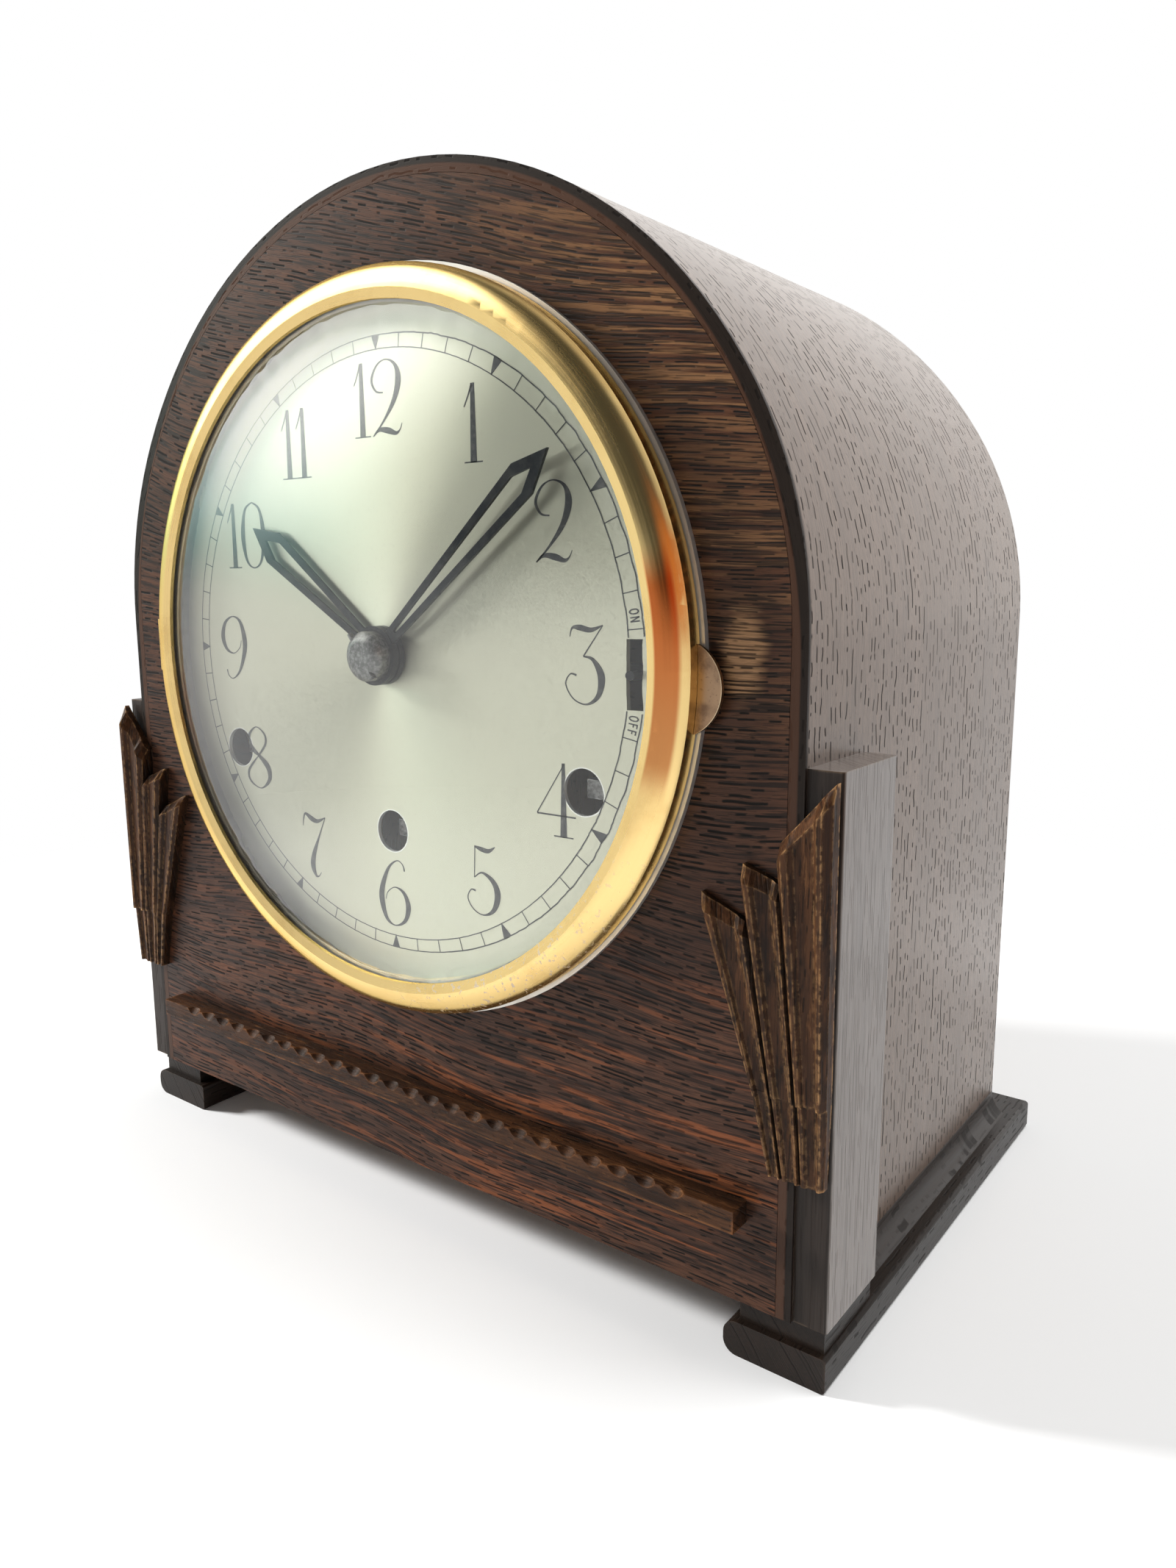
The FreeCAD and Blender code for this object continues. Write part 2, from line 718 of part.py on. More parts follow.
def door_hinges(axis_x):
    """Solids of the fixed leaves with their pins, and of the moving flaps, of the rear door's butt hinges.
    The leaf lies on the -X side of the axis and the flap on the +X side, both on the back of the case."""
    fit, pin, knuckle = clock.running_fit.value, clock.door_pin_radius.value, clock.door_knuckle_radius.value
    length, leaf_width = clock.door_hinge_length.value, clock.door_leaf_width.value
    reach = knuckle + clock.hinge_clearance.value
    axis = FreeCAD.Vector(axis_x, (case_back + clock.door_hinge_offset).value, 0)
    plate_side = (case_back.value, (case_back + clock.leaf_thickness).value)
    fixed, moving = [], []
    for height in (clock.door_hinge_low.value, clock.door_hinge_high.value):
        low, third = height - length / 2, length / 3

        def tube(bottom, tall, radius):
            return Part.makeCylinder(radius, tall, axis + FreeCAD.Vector(0, 0, bottom))

        leaf = slab((axis_x - reach - leaf_width, axis_x - reach), plate_side, (low, low + length))
        for bottom in (low, low + 2 * third):
            tongue = slab((axis_x - reach, axis_x), plate_side, (bottom, bottom + third))
            leaf = leaf.fuse([tongue, tube(bottom, third, knuckle)])
        fixed.append(leaf.fuse(tube(low, length, pin)).removeSplitter())
        gap = fit * 2
        flap = slab((axis_x + reach, axis_x + reach + leaf_width), plate_side, (low, low + length))
        tongue = slab((axis_x, axis_x + reach), plate_side, (low + third + gap, low + 2 * third - gap))
        barrel = tube(low + third + gap, third - 2 * gap, knuckle)
        moving.append(flap.fuse([tongue, barrel]).cut(tube(low, length, pin + fit)).removeSplitter())
    return Part.makeCompound(fixed), Part.makeCompound(moving)


door_axis_x = frame_inner + clock.door_gap / 2 - clock.case_half_width
hinge_leaves, hinge_flaps = door_hinges(door_axis_x.value)
formed("door_hinge_leaves", hinge_leaves)
formed("door_hinge_flaps", hinge_flaps)

# Bezel: a spun brass ring with a hollow back, on a flat seat ring, with its domed glass and retaining ring.
# Depths in front of the case are negative.
bezel_back = -(clock.seat_ring_thickness + clock.bezel_lift)
crest = -clock.bezel_crest
metal, shoulder = clock.bezel_metal, crest + clock.bezel_shoulder
lip_edge = sight + clock.bezel_lip
glass_edge = sight + clock.glass_overlap
seat_inner = clock.dial_radius + clock.bezel_lift
plate("bezel_seat_ring", -clock.seat_ring_thickness, clock.seat_ring_thickness,
      circles=[(0, 0, seat_rim), (0, 0, seat_inner)], z=clock.dial_height)
turned("bezel", [(bezel_rim, bezel_back), (bezel_rim - metal, bezel_back),
                 (bezel_rim - metal, shoulder, clock.bezel_sweep - metal, -1),
                 (lip_edge, crest + metal), (sight, crest + metal + clock.bezel_return),
                 (sight, crest + clock.bezel_return),
                 (lip_edge, crest, clock.bezel_sweep, 1), (bezel_rim, shoulder)], z=clock.dial_height)
dome = (glass_edge * glass_edge + clock.glass_rise * clock.glass_rise) / (2 * clock.glass_rise)
turned("bezel_glass", [(0, -glass_apex, dome, 1), (glass_edge, -glass_seat),
                       (glass_edge, clock.glass_thickness - glass_seat, dome, -1),
                       (0, clock.glass_thickness - glass_apex)], z=clock.dial_height)
retainer_front = clock.glass_thickness - glass_seat
plate("glass_retainer", retainer_front, clock.retainer_thickness,
      circles=[(0, 0, bezel_rim - metal - clock.glue_gap), (0, 0, sight - clock.retainer_lap)],
      z=clock.dial_height)

# Thumb tab: half a disc of sheet brass against the back of the bezel at three o'clock
tab_x = bezel_rim + clock.tab_reach - clock.tab_radius
tab_disc = bar(clock.tab_radius.value, (bezel_back - clock.tab_thickness).value, clock.tab_thickness.value,
               tab_x.value, -clock.tab_drop.value)
ring_cut = bar((bezel_rim + clock.running_fit).value, crest.value, 2 * clock.bezel_crest.value)
formed("bezel_tab", tab_disc.cut(ring_cut), 0, clock.dial_height)

bezel_axis_x = -(seat_rim + clock.bezel_knuckle_radius)
bezel_axis_depth = -(clock.bezel_knuckle_radius + clock.seat_ring_thickness + clock.hinge_clearance)


def bezel_hinge():
    """Fixed leaf on the case beside the seat ring, and a short flap soldered to the bezel's rim."""
    length, knuckle = clock.bezel_hinge_length.value, clock.bezel_knuckle_radius.value
    pin, fit = clock.bezel_pin_radius.value, clock.running_fit.value
    axis_x, axis_depth = bezel_axis_x.value, bezel_axis_depth.value
    third, gap = length / 3, 2 * fit
    axis = FreeCAD.Vector(axis_x, axis_depth, 0)

    def tube(bottom, tall, radius):
        return Part.makeCylinder(radius, tall, axis + FreeCAD.Vector(0, 0, bottom))

    seat_edge = -(seat_rim + 2 * clock.glue_gap).value
    thick = clock.leaf_thickness.value
    leaf = slab((seat_edge - clock.bezel_leaf_width.value, seat_edge), (-thick, 0),
                (-length / 2, length / 2))
    for bottom in (-length / 2, length / 6):
        web = slab((axis_x - knuckle, axis_x - knuckle + thick), (axis_depth, 0), (bottom, bottom + third))
        leaf = leaf.fuse([web, tube(bottom, third, knuckle)])
    leaf = leaf.fuse(tube(-length / 2, length, pin)).removeSplitter()
    flap_side = (axis_depth - thick / 2, axis_depth + thick / 2)
    rim_edge = -(bezel_rim + clock.running_fit).value
    flap = slab((axis_x, rim_edge), flap_side, (-third / 2 + gap, third / 2 - gap))
    flap = flap.fuse(tube(-third / 2 + gap, third - 2 * gap, knuckle))
    return leaf, flap.cut(tube(-third, 2 * third, pin + fit)).removeSplitter()


leaf, flap = bezel_hinge()
formed("bezel_hinge_leaf", leaf, 0, clock.dial_height)
formed("bezel_hinge_flap", flap, 0, clock.dial_height)

# Movement frame: two plates held apart by pillars, hung on posts behind the front board
front_plate_depth = clock.board_thickness + clock.post_length
gap_front = front_plate_depth + clock.plate_thickness
back_plate_depth = gap_front + clock.plate_spacing
plates_back = back_plate_depth + clock.plate_thickness
side_reach = clock.dial_radius * clock.side_winding_across
side_drop = clock.dial_radius * clock.side_winding_below
arbors = {
    "time": (as_size(0), -clock.time_winding_drop),
    "strike": (-side_reach, -side_drop),
    "chime": (side_reach, -side_drop),
}

# Where the arbors of the going train stand: the intermediate arbor is found from its two meshing distances
barrel_mesh = (clock.great_teeth + clock.intermediate_pinion_teeth) * clock.great_module / 2
centre_mesh = (clock.intermediate_teeth + clock.centre_pinion_teeth) * clock.intermediate_module / 2
drop = clock.time_winding_drop
along = (drop * drop + centre_mesh * centre_mesh - barrel_mesh * barrel_mesh) / (2 * drop)
intermediate = (-root(centre_mesh * centre_mesh - along * along), -along)
third_mesh = (clock.centre_teeth + clock.third_pinion_teeth) * clock.centre_module / 2
third = (third_mesh / math.sqrt(2), third_mesh / math.sqrt(2))
escape_mesh = (clock.third_teeth + clock.escape_pinion_teeth) * clock.third_module / 2
escape = (as_size(0), third[1] + root(escape_mesh * escape_mesh - third[0] * third[0]))
anchor = (as_size(0), escape[1] + clock.anchor_rise)
motion_mesh = (clock.cannon_teeth + clock.minute_teeth) * clock.cannon_module / 2
minute_post = (-motion_mesh / math.sqrt(2), motion_mesh / math.sqrt(2))
hour_module = 2 * motion_mesh / (clock.minute_pinion_teeth + clock.hour_teeth)
lever_pivot = (clock.lever_pivot_reach, -clock.lever_drop)
click_offset = (clock.click_reach, clock.click_rise)
clicks = {name: (spot[0] + click_offset[0], spot[1] + click_offset[1]) for name, spot in arbors.items()}
post_spots = [(side * clock.post_reach, rise)
              for side in (-1, 1) for rise in (clock.post_rise, -clock.post_drop)]
pillar_spots = [(side * clock.pillar_reach, rise)
                for side in (-1, 1) for rise in (clock.pillar_rise, -clock.pillar_drop)]


def movement_plate(label, depth, holes, studs):
    """Brass plate with cut corners, its pivot holes, and the studs riveted into it."""
    half, top, low, cut = clock.plate_half_width, clock.plate_rise, -clock.plate_drop, clock.plate_corner
    outline = [(half - cut, low), (half, low + cut), (half, top - cut), (half - cut, top),
               (cut - half, top), (-half, top - cut), (-half, low + cut), (cut - half, low)]
    body = doc.addObject("PartDesign::Body", label)
    pad_on(body, depth, clock.plate_thickness, [outline], holes)
    for spot, start, end in studs:
        pad_on(body, start, end - start, circles=[(*spot, clock.arbor_radius)])
    place(body, 0, clock.dial_height)
    return keep(body, label)


pivot_hole = clock.pivot_radius + clock.running_fit
arbor_hole = clock.arbor_radius + clock.running_fit
winding_hole = clock.winding_arbor_radius + clock.running_fit
winding_holes = [(*spot, winding_hole) for spot in arbors.values()]
train_holes = [(*spot, pivot_hole) for spot in (intermediate, third, escape)]
stud_end = clock.stud_front
movement_plate("front_plate", front_plate_depth,
               winding_holes + train_holes + [(0, 0, arbor_hole), (*anchor, pivot_hole)]
               + [(*spot, clock.spigot_radius + clock.running_fit) for spot in post_spots],
               [(minute_post, stud_end, front_plate_depth),
                (lever_pivot, stud_end - clock.stud_step, front_plate_depth)])
click_stud_end = plates_back + clock.click_stud_length
movement_plate("back_plate", back_plate_depth,
               winding_holes + train_holes + [(0, 0, pivot_hole), (*anchor, arbor_hole)]
               + [(*spot, clock.spigot_radius + clock.running_fit) for spot in pillar_spots],
               [(spot, plates_back, click_stud_end) for spot in clicks.values()])


def hexagon(radius, start, thickness, x, z):
    turns = [math.radians(60 * corner) for corner in range(6)]
    corners = [(x + radius * math.cos(turn), z + radius * math.sin(turn)) for turn in turns]
    return prism(corners, start, thickness)


def pillars_and_nuts():
    """Pillars shouldered between the plates, their spigots through the back plate, and a nut on each."""
    solids = []
    radius, spigot, fit = clock.pillar_radius.value, clock.spigot_radius.value, clock.running_fit.value
    nut_height = clock.plate_nut_height.value
    spigot_length = clock.plate_thickness.value + 1.3 * nut_height
    for x, z in pillar_spots:
        stem = bar(radius, gap_front.value, clock.plate_spacing.value, x.value, z.value)
        end = bar(spigot, back_plate_depth.value, spigot_length, x.value, z.value)
        solids.append(stem.fuse(end).removeSplitter())
        nut = hexagon(1.15 * radius, plates_back.value, nut_height, x.value, z.value)
        solids.append(nut.cut(bar(spigot + fit, plates_back.value, nut_height, x.value, z.value)))
    return Part.makeCompound(solids)


def posts_and_screws():
    """Posts between board and front plate, and the screws that hold the plate to them."""
    solids = []
    for x, z in post_spots:
        solids.append(bar(clock.post_radius.value, clock.board_thickness.value, clock.post_length.value,
                          x.value, z.value))
        shank = bar(clock.spigot_radius.value, front_plate_depth.value, clock.plate_thickness.value,
                    x.value, z.value)
        head = bar(clock.post_radius.value, gap_front.value, clock.screw_head_height.value, x.value, z.value)
        solids.append(shank.fuse(head).removeSplitter())
    return Part.makeCompound(solids)


formed("plate_pillars", pillars_and_nuts(), 0, clock.dial_height)
formed("movement_posts", posts_and_screws(), 0, clock.dial_height)


# Wheels and pinions: straight-flanked teeth with room to run, four-armed crossings in the wheels

# Height of a tooth above and below the pitch circle in modules, and half its width at root and tip in teeth
ADDENDUM, DEDENDUM = 0.8, 1.15
WHEEL_TOOTH, PINION_LEAF = (0.25, 0.11), (0.2, 0.09)
# Depth of a rim below the pitch circle in modules, and half an arm's width as a share of the rim's radius
RIM_DEPTH, ARM_SHARE = 3.4, 0.16


def toothed(teeth, module, start, thickness, phase=0.0, tooth=WHEEL_TOOTH):
    """Toothed disc along Y. The phase turns a tooth away from the +X direction, in teeth."""
    count = int(round(teeth.value))
    pitch = count * module.value / 2
    tip, bottom = pitch + ADDENDUM * module.value, pitch - DEDENDUM * module.value
    wide, narrow = tooth
    points = []
    for index in range(count):
        for radius, share in ((bottom, -wide), (tip, -narrow), (tip, narrow), (bottom, wide)):
            turn = (index + phase + share) * 2 * math.pi / count
            points.append((radius * math.cos(turn), radius * math.sin(turn)))
    return prism(points, start, thickness)


def crossed(disc, rim_radius, hub_radius, arm_half, start, thickness):
    """Cuts a disc away between hub and rim, leaving four arms."""
    windows = bar(rim_radius, start, thickness).cut(bar(hub_radius, start, thickness))
    depths = (start, start + thickness)
    cross = slab((-rim_radius, rim_radius), depths, (-arm_half, arm_half))
    upright = slab((-arm_half, arm_half), depths, (-rim_radius, rim_radius))
    return disc.cut(windows.cut([cross, upright]))


def crossed_wheel(teeth, module, start, thickness, hub):
    """Wheel with a toothed rim and four arms."""
    rim_radius = (teeth.value / 2 - RIM_DEPTH) * module.value
    disc = toothed(teeth, module, start, thickness)
    return crossed(disc, rim_radius, hub.value, ARM_SHARE * rim_radius, start, thickness)


def partner_phase(spot, teeth, partner, partner_teeth):
    """Phase of the partner, in its own teeth, that sets its gaps against a wheel of phase zero."""
    across, up = partner[0].value - spot[0].value, partner[1].value - spot[1].value
    direction = math.atan2(up, across) / (2 * math.pi)
    past_the_line = (-direction * teeth.value) % 1.0
    return (direction + 0.5) * partner_teeth.value - 0.5 - past_the_line


centre = (as_size(0), as_size(0))
thick, shake = clock.wheel_thickness.value, clock.end_shake.value
pivot, stem, fit = clock.pivot_radius.value, clock.arbor_radius.value, clock.running_fit.value
front_pivot_start, back_pivot_end = front_plate_depth.value, plates_back.value
between_front, between_back = gap_front.value + shake, back_plate_depth.value - shake


def plain_arbor():
    """Arbor between the plates with a pivot at each end."""
    rod = bar(stem, between_front, between_back - between_front)
    return rod.fuse(bar(pivot, front_pivot_start, back_pivot_end - front_pivot_start)).removeSplitter()


def arbor_at(solid, spot, label):
    """Sub-part whose axis stands at a spot measured from the middle of the dial."""
    return formed(label, solid.removeSplitter(), spot[0], spot[1] + clock.dial_height)


# Spring barrels with their great wheels, on the winding arbors
drum_start, drum_length = gap_front.value + clock.drum_clearance.value, clock.drum_length.value
great_depth = drum_start + drum_length
ratchet_start = (plates_back + clock.ratchet_clearance).value
ratchet_thickness = clock.ratchet_thickness.value


def barrel_solid():
    drum = bar(clock.drum_radius.value, drum_start, drum_length)
    lip = bar((clock.drum_radius + clock.drum_lip).value, drum_start, clock.drum_lip_width.value)
    wheel = toothed(clock.great_teeth, clock.great_module, great_depth, thick)
    bore = bar(clock.winding_arbor_radius.value + fit, drum_start, drum_length + thick)
    return drum.fuse([lip, wheel]).cut(bore)


def winding_arbor_solids():
    """Arbor with a squared front end for the key, and its ratchet wheel behind the back plate."""
    radius, half = clock.winding_arbor_radius.value, clock.winding_square.value / 2
    shoulder = front_pivot_start - clock.square_shoulder.value
    rod = bar(radius, shoulder, ratchet_start + ratchet_thickness + clock.winding_tail.value - shoulder)
    square = slab((-half, half), (clock.square_front.value, shoulder), (-half, half))
    teeth = int(round(clock.ratchet_teeth.value))
    points = []
    for tooth in range(teeth):
        turn = math.pi / 2 + tooth * 2 * math.pi / teeth
        for length in (clock.ratchet_root.value, clock.ratchet_radius.value):
            points.append((length * math.cos(turn), length * math.sin(turn)))
    ratchet = prism(points, ratchet_start, ratchet_thickness)
    ratchet = ratchet.cut(bar(radius + fit, ratchet_start, ratchet_thickness))
    return Part.makeCompound([rod.fuse(square).removeSplitter(), ratchet])


def click_solid():
    """Pawl on its stud, with its nose in a ratchet gap beside the arbor's top."""
    hub_x, hub_z = click_offset[0].value, click_offset[1].value
    hub_radius, thickness = clock.click_hub_radius.value, clock.click_thickness.value
    room = clock.click_clearance.value
    low = (clock.ratchet_root + clock.click_bite).value
    nose = prism([(room, low), (room, low + clock.click_nose.value), (hub_x, hub_z + 0.6 * hub_radius),
                  (hub_x, hub_z - 0.4 * hub_radius)], ratchet_start, thickness)
    hub = bar(hub_radius, ratchet_start, thickness, hub_x, hub_z)
    return nose.fuse(hub).cut(bar(stem + fit, ratchet_start, thickness, hub_x, hub_z))


for name, spot in arbors.items():
    arbor_at(barrel_solid(), spot, f"{name}_barrel")
    formed(f"{name}_winding_arbor", winding_arbor_solids(), spot[0], spot[1] + clock.dial_height)
    arbor_at(click_solid(), spot, f"{name}_click")

# Going train from the time barrel to the escape wheel. A pinion stands out past the wheel it meets.
overhang = clock.pinion_overhang.value
intermediate_depth = great_depth + thick + clock.intermediate_lag.value
centre_depth = great_depth - clock.centre_wheel_lead.value
third_depth = centre_depth - clock.third_wheel_lead.value
escape_depth = third_depth - clock.escape_wheel_lead.value
third_thickness, escape_thickness = 0.75 * thick, 0.6 * thick


def pinion(teeth, module, wheel_depth, wheel_thickness, phase=0.0):
    return toothed(teeth, module, wheel_depth - overhang, wheel_thickness + 2 * overhang, phase, PINION_LEAF)


phase = partner_phase(arbors["time"], clock.great_teeth, intermediate, clock.intermediate_pinion_teeth)
leaves = pinion(clock.intermediate_pinion_teeth, clock.great_module, great_depth, thick, phase)
wheel = crossed_wheel(clock.intermediate_teeth, clock.intermediate_module, intermediate_depth, thick,
                      clock.wheel_hub_radius)
arbor_at(plain_arbor().fuse([leaves, wheel]), intermediate, "intermediate_wheel")

phase = partner_phase(intermediate, clock.intermediate_teeth, centre, clock.centre_pinion_teeth)
leaves = pinion(clock.centre_pinion_teeth, clock.intermediate_module, intermediate_depth, thick, phase)
hour_hand_depth, minute_hand_depth = -clock.hour_hand_front, -clock.minute_hand_front
nut_back = minute_hand_depth - clock.hub_lift
hand_tip = (nut_back - clock.arbor_tip).value
arbor = bar(stem, hand_tip, between_back - hand_tip)
arbor = arbor.fuse(bar(pivot, hand_tip, back_pivot_end - hand_tip))
collar = bar(clock.collar_radius.value, between_front, centre_depth - between_front)
wheel = crossed_wheel(clock.centre_teeth, clock.centre_module, centre_depth, thick, clock.wheel_hub_radius)
arbor_at(arbor.fuse([collar, wheel, leaves]), centre, "centre_wheel")

phase = partner_phase(centre, clock.centre_teeth, third, clock.third_pinion_teeth)
leaves = pinion(clock.third_pinion_teeth, clock.centre_module, centre_depth, thick, phase)
wheel = crossed_wheel(clock.third_teeth, clock.third_module, third_depth, third_thickness,
                      clock.third_hub_radius)
arbor_at(plain_arbor().fuse([leaves, wheel]), third, "third_wheel")


def escape_wheel_solid():
    """Thin crossed wheel with leaning pointed teeth."""
    teeth, radius = int(round(clock.escape_teeth.value)), clock.escape_radius.value
    base = radius - clock.escape_tooth_height.value
    points = []
    for tooth in range(teeth):
        for length, share in ((base, -0.3), (radius, 0.0), (base, 0.12)):
            turn = (tooth + share) * 2 * math.pi / teeth
            points.append((length * math.cos(turn), length * math.sin(turn)))
    rim_radius = base - clock.escape_rim.value
    return crossed(prism(points, escape_depth, escape_thickness), rim_radius, clock.escape_hub_radius.value,
                   clock.escape_rim.value / 2, escape_depth, escape_thickness)


phase = partner_phase(third, clock.third_teeth, escape, clock.escape_pinion_teeth)
leaves = pinion(clock.escape_pinion_teeth, clock.third_module, third_depth, third_thickness, phase)
arbor_at(plain_arbor().fuse([leaves, escape_wheel_solid()]), escape, "escape_wheel")


# Anchor with its crutch: the pallets clear the escape wheel's tips at full swing

def anchor_solid():
    """Two pallets on an arbor, and behind the back plate the crutch, whose fork holds the pendulum rod."""
    radius = clock.escape_radius.value
    pallet = (radius + clock.pallet_clearance.value) / math.sqrt(2)
    foot_z = pallet - clock.anchor_rise.value
    arm = clock.anchor_arm.value
    points = [(0, arm), (0.7 * pallet, 0.2 * arm), (pallet + 0.93 * arm, foot_z + 0.87 * arm),
              (pallet + 0.13 * arm, foot_z + 0.13 * arm), (pallet + 0.03 * arm, foot_z + 0.8 * arm),
              (0.55 * pallet, -0.8 * arm), (0, -0.87 * arm)]
    outline = points + [(-x, z) for x, z in points[-2:0:-1]]
    body = prism(outline, escape_depth - 0.3 * arm, escape_thickness + 0.6 * arm)
    crutch, sheet_metal = (clock.pendulum_depth - clock.crutch_lead).value, clock.crutch_thickness.value
    rod = bar(stem, between_front, crutch + sheet_metal + shake - between_front)
    rod = rod.fuse(bar(pivot, front_pivot_start, between_front - front_pivot_start))
    length, half = clock.crutch_length.value, clock.crutch_half_width.value
    gap = (clock.rod_radius + clock.fork_play).value
    side, low = gap + clock.fork_prong.value, -(clock.crutch_length + clock.fork_height).value
    flat, fork = (crutch, crutch + sheet_metal), (crutch, crutch + clock.fork_length.value)
    pieces = [body, slab((-half, half), flat, (-length, 0)), slab((-side, side), flat, (low, -length)),
              slab((-side, -gap), fork, (low, -length)), slab((gap, side), fork, (low, -length)),
              bar(clock.escape_hub_radius.value, crutch, sheet_metal)]
    return rod.fuse(pieces)


arbor_at(anchor_solid(), anchor, "anchor")

# Motion work behind the dial: cannon pinion, minute wheel and hour wheel
flat_wheel = clock.motion_wheel_thickness.value
cannon_depth = (front_plate_depth - clock.cannon_lead).value
hour_depth = (front_plate_depth - clock.hour_wheel_lead).value
cannon_pipe, hour_pipe = clock.cannon_pipe_radius.value, clock.hour_pipe_radius.value
cannon_start, hour_start = minute_hand_depth.value - shake, hour_hand_depth.value - shake


def bored(solid, radius):
    """Clears a wheel for the arbor or pipe that it turns on."""
    return solid.cut(bar(radius, hand_tip, front_plate_depth.value - hand_tip))


cannon = bar(cannon_pipe, cannon_start, front_plate_depth.value - 2 * shake - cannon_start)
leaves = toothed(clock.cannon_teeth, clock.cannon_module, cannon_depth - overhang / 2,
                 flat_wheel + overhang, 0.0, PINION_LEAF)
arbor_at(bored(cannon.fuse(leaves), stem + fit), centre, "cannon_pinion")

phase = partner_phase(centre, clock.cannon_teeth, minute_post, clock.minute_teeth)
wheel = toothed(clock.minute_teeth, clock.cannon_module, cannon_depth, flat_wheel, phase)
leaves = toothed(clock.minute_pinion_teeth, hour_module, hour_depth - overhang / 2,
                 cannon_depth - hour_depth + overhang / 2, 0.0, PINION_LEAF)
arbor_at(bored(wheel.fuse(leaves), stem + fit), minute_post, "minute_wheel")

phase = partner_phase(minute_post, clock.minute_pinion_teeth, centre, clock.hour_teeth)
wheel = toothed(clock.hour_teeth, hour_module, hour_depth, flat_wheel, phase)
hour_tube = bar(hour_pipe, hour_start, hour_depth + flat_wheel - hour_start)
arbor_at(bored(wheel.fuse(hour_tube), cannon_pipe + 2 * fit), centre, "hour_wheel")

# Dial: a silvered disc on the board, with winding holes, the lever's slot and riveted feet
lever_length = clock.dial_radius - clock.lever_slot_margin - clock.lever_pivot_reach
throw = math.radians(clock.lever_throw.value)
slot_half_height = lever_length * math.sin(throw) + clock.lever_pin_radius + clock.slot_room
slot_x = clock.lever_pivot_reach + lever_length * ((1 + math.cos(throw)) / 2)
slot_left, slot_right = slot_x - clock.lever_slot_half_width, slot_x + clock.lever_slot_half_width
slot_low, slot_high = -clock.lever_drop - slot_half_height, slot_half_height - clock.lever_drop
dial = doc.addObject("PartDesign::Body", "dial_plate")
pad_on(dial, -clock.dial_thickness, clock.dial_thickness,
       [[(slot_left, slot_low), (slot_right, slot_low), (slot_right, slot_high), (slot_left, slot_high)]],
       [(0, 0, clock.dial_radius), (0, 0, clock.hour_pipe_radius + clock.slot_room)]
       + [(*spot, clock.winding_hole_radius) for spot in arbors.values()])
for side, rise in ((-1, 1), (1, 1), (-1, -1), (1, -1)):
    pad_on(dial, 0, front_plate_depth,
           circles=[(side * clock.dial_foot_reach, rise * clock.dial_foot_reach, clock.dial_foot_radius)])
place(dial, 0, clock.dial_height)
keep(dial, "dial_plate")


# Hands: two bars that widen outwards round an open slot and close in an arrow point

def turn_on_dial(body, angle):
    """Puts a piece on the middle of the dial, turned clockwise as seen from the front."""
    place(body, 0, clock.dial_height)
    body.Placement = FreeCAD.Placement(body.Placement.Base, FreeCAD.Rotation(FRONT, angle.value))
    body.setExpression("Placement.Rotation.Angle", angle.formula)


def hand(label, length, angle, depth, bore_radius, width):
    body = doc.addObject("PartDesign::Body", label)
    half, neck, rib = width / 2, clock.hand_neck_width / 2, clock.hand_rib
    root_height, shoulder = clock.hub_radius * 0.4, length - clock.hand_point
    blade = [(-neck, root_height), (neck, root_height), (half, shoulder), (0, length), (-half, shoulder)]
    slot_half, slot_root, slot_shoulder = neck / 4, clock.hub_radius + rib, shoulder - rib
    slot = [(-slot_half, slot_root), (slot_half, slot_root), (half - rib, slot_shoulder),
            (0, length - rib * 3), (rib - half, slot_shoulder)]
    hub_front, hub_thickness = depth - clock.hub_lift, clock.hand_thickness + clock.hub_lift * 2
    pad_on(body, depth, clock.hand_thickness, [blade, slot])
    pad_on(body, hub_front, hub_thickness, circles=[(0, 0, clock.hub_radius)])
    hole = new_sketch(body, "XZ_Plane", hub_front)
    draw_circle(hole, 0, 0, bore_radius)
    drilled = body.newObject("PartDesign::Pocket", "Bore")
    drilled.Profile = hole
    drilled.setExpression("Length", hub_thickness.formula)
    turn_on_dial(body, angle)
    return keep(body, label)


hand("hour_hand", clock.dial_radius - clock.hour_hand_margin, clock.hour_hand_angle, hour_hand_depth,
     clock.hour_pipe_radius + clock.running_fit, clock.hour_hand_width)
hand("minute_hand", clock.dial_radius - clock.minute_hand_margin, clock.minute_hand_angle, minute_hand_depth,
     clock.cannon_pipe_radius + clock.running_fit, clock.minute_hand_width)

# Cap nut in front of the hands, with a pin across its crown
nut_front = nut_back - clock.nut_length
nut_bore, nut_bore_end = clock.arbor_radius + clock.running_fit, nut_front + clock.nut_cap
crown_edge, crown_drop = clock.nut_radius - clock.nut_crown, clock.nut_crown * 0.7
nut = turned("hand_nut", [(0, nut_front), (0, nut_bore_end), (nut_bore, nut_bore_end), (nut_bore, nut_back),
                          (clock.nut_radius, nut_back),
                          (clock.nut_radius, nut_front + crown_drop, clock.nut_crown * 1.4, -1),
                          (crown_edge, nut_front)])
pin_sketch = new_sketch(nut, "YZ_Plane", clock.pin_length / 2)
draw_circle(pin_sketch, nut_front + clock.pin_radius * 1.4, 0, clock.pin_radius)
pin = nut.newObject("PartDesign::Pad", "Pin")
pin.Profile = pin_sketch
pin.setExpression("Length", clock.pin_length.formula)
turn_on_dial(nut, clock.pin_angle)


# Chime lever: a flat arm on a stud of the front plate, with a pin through the dial's slot

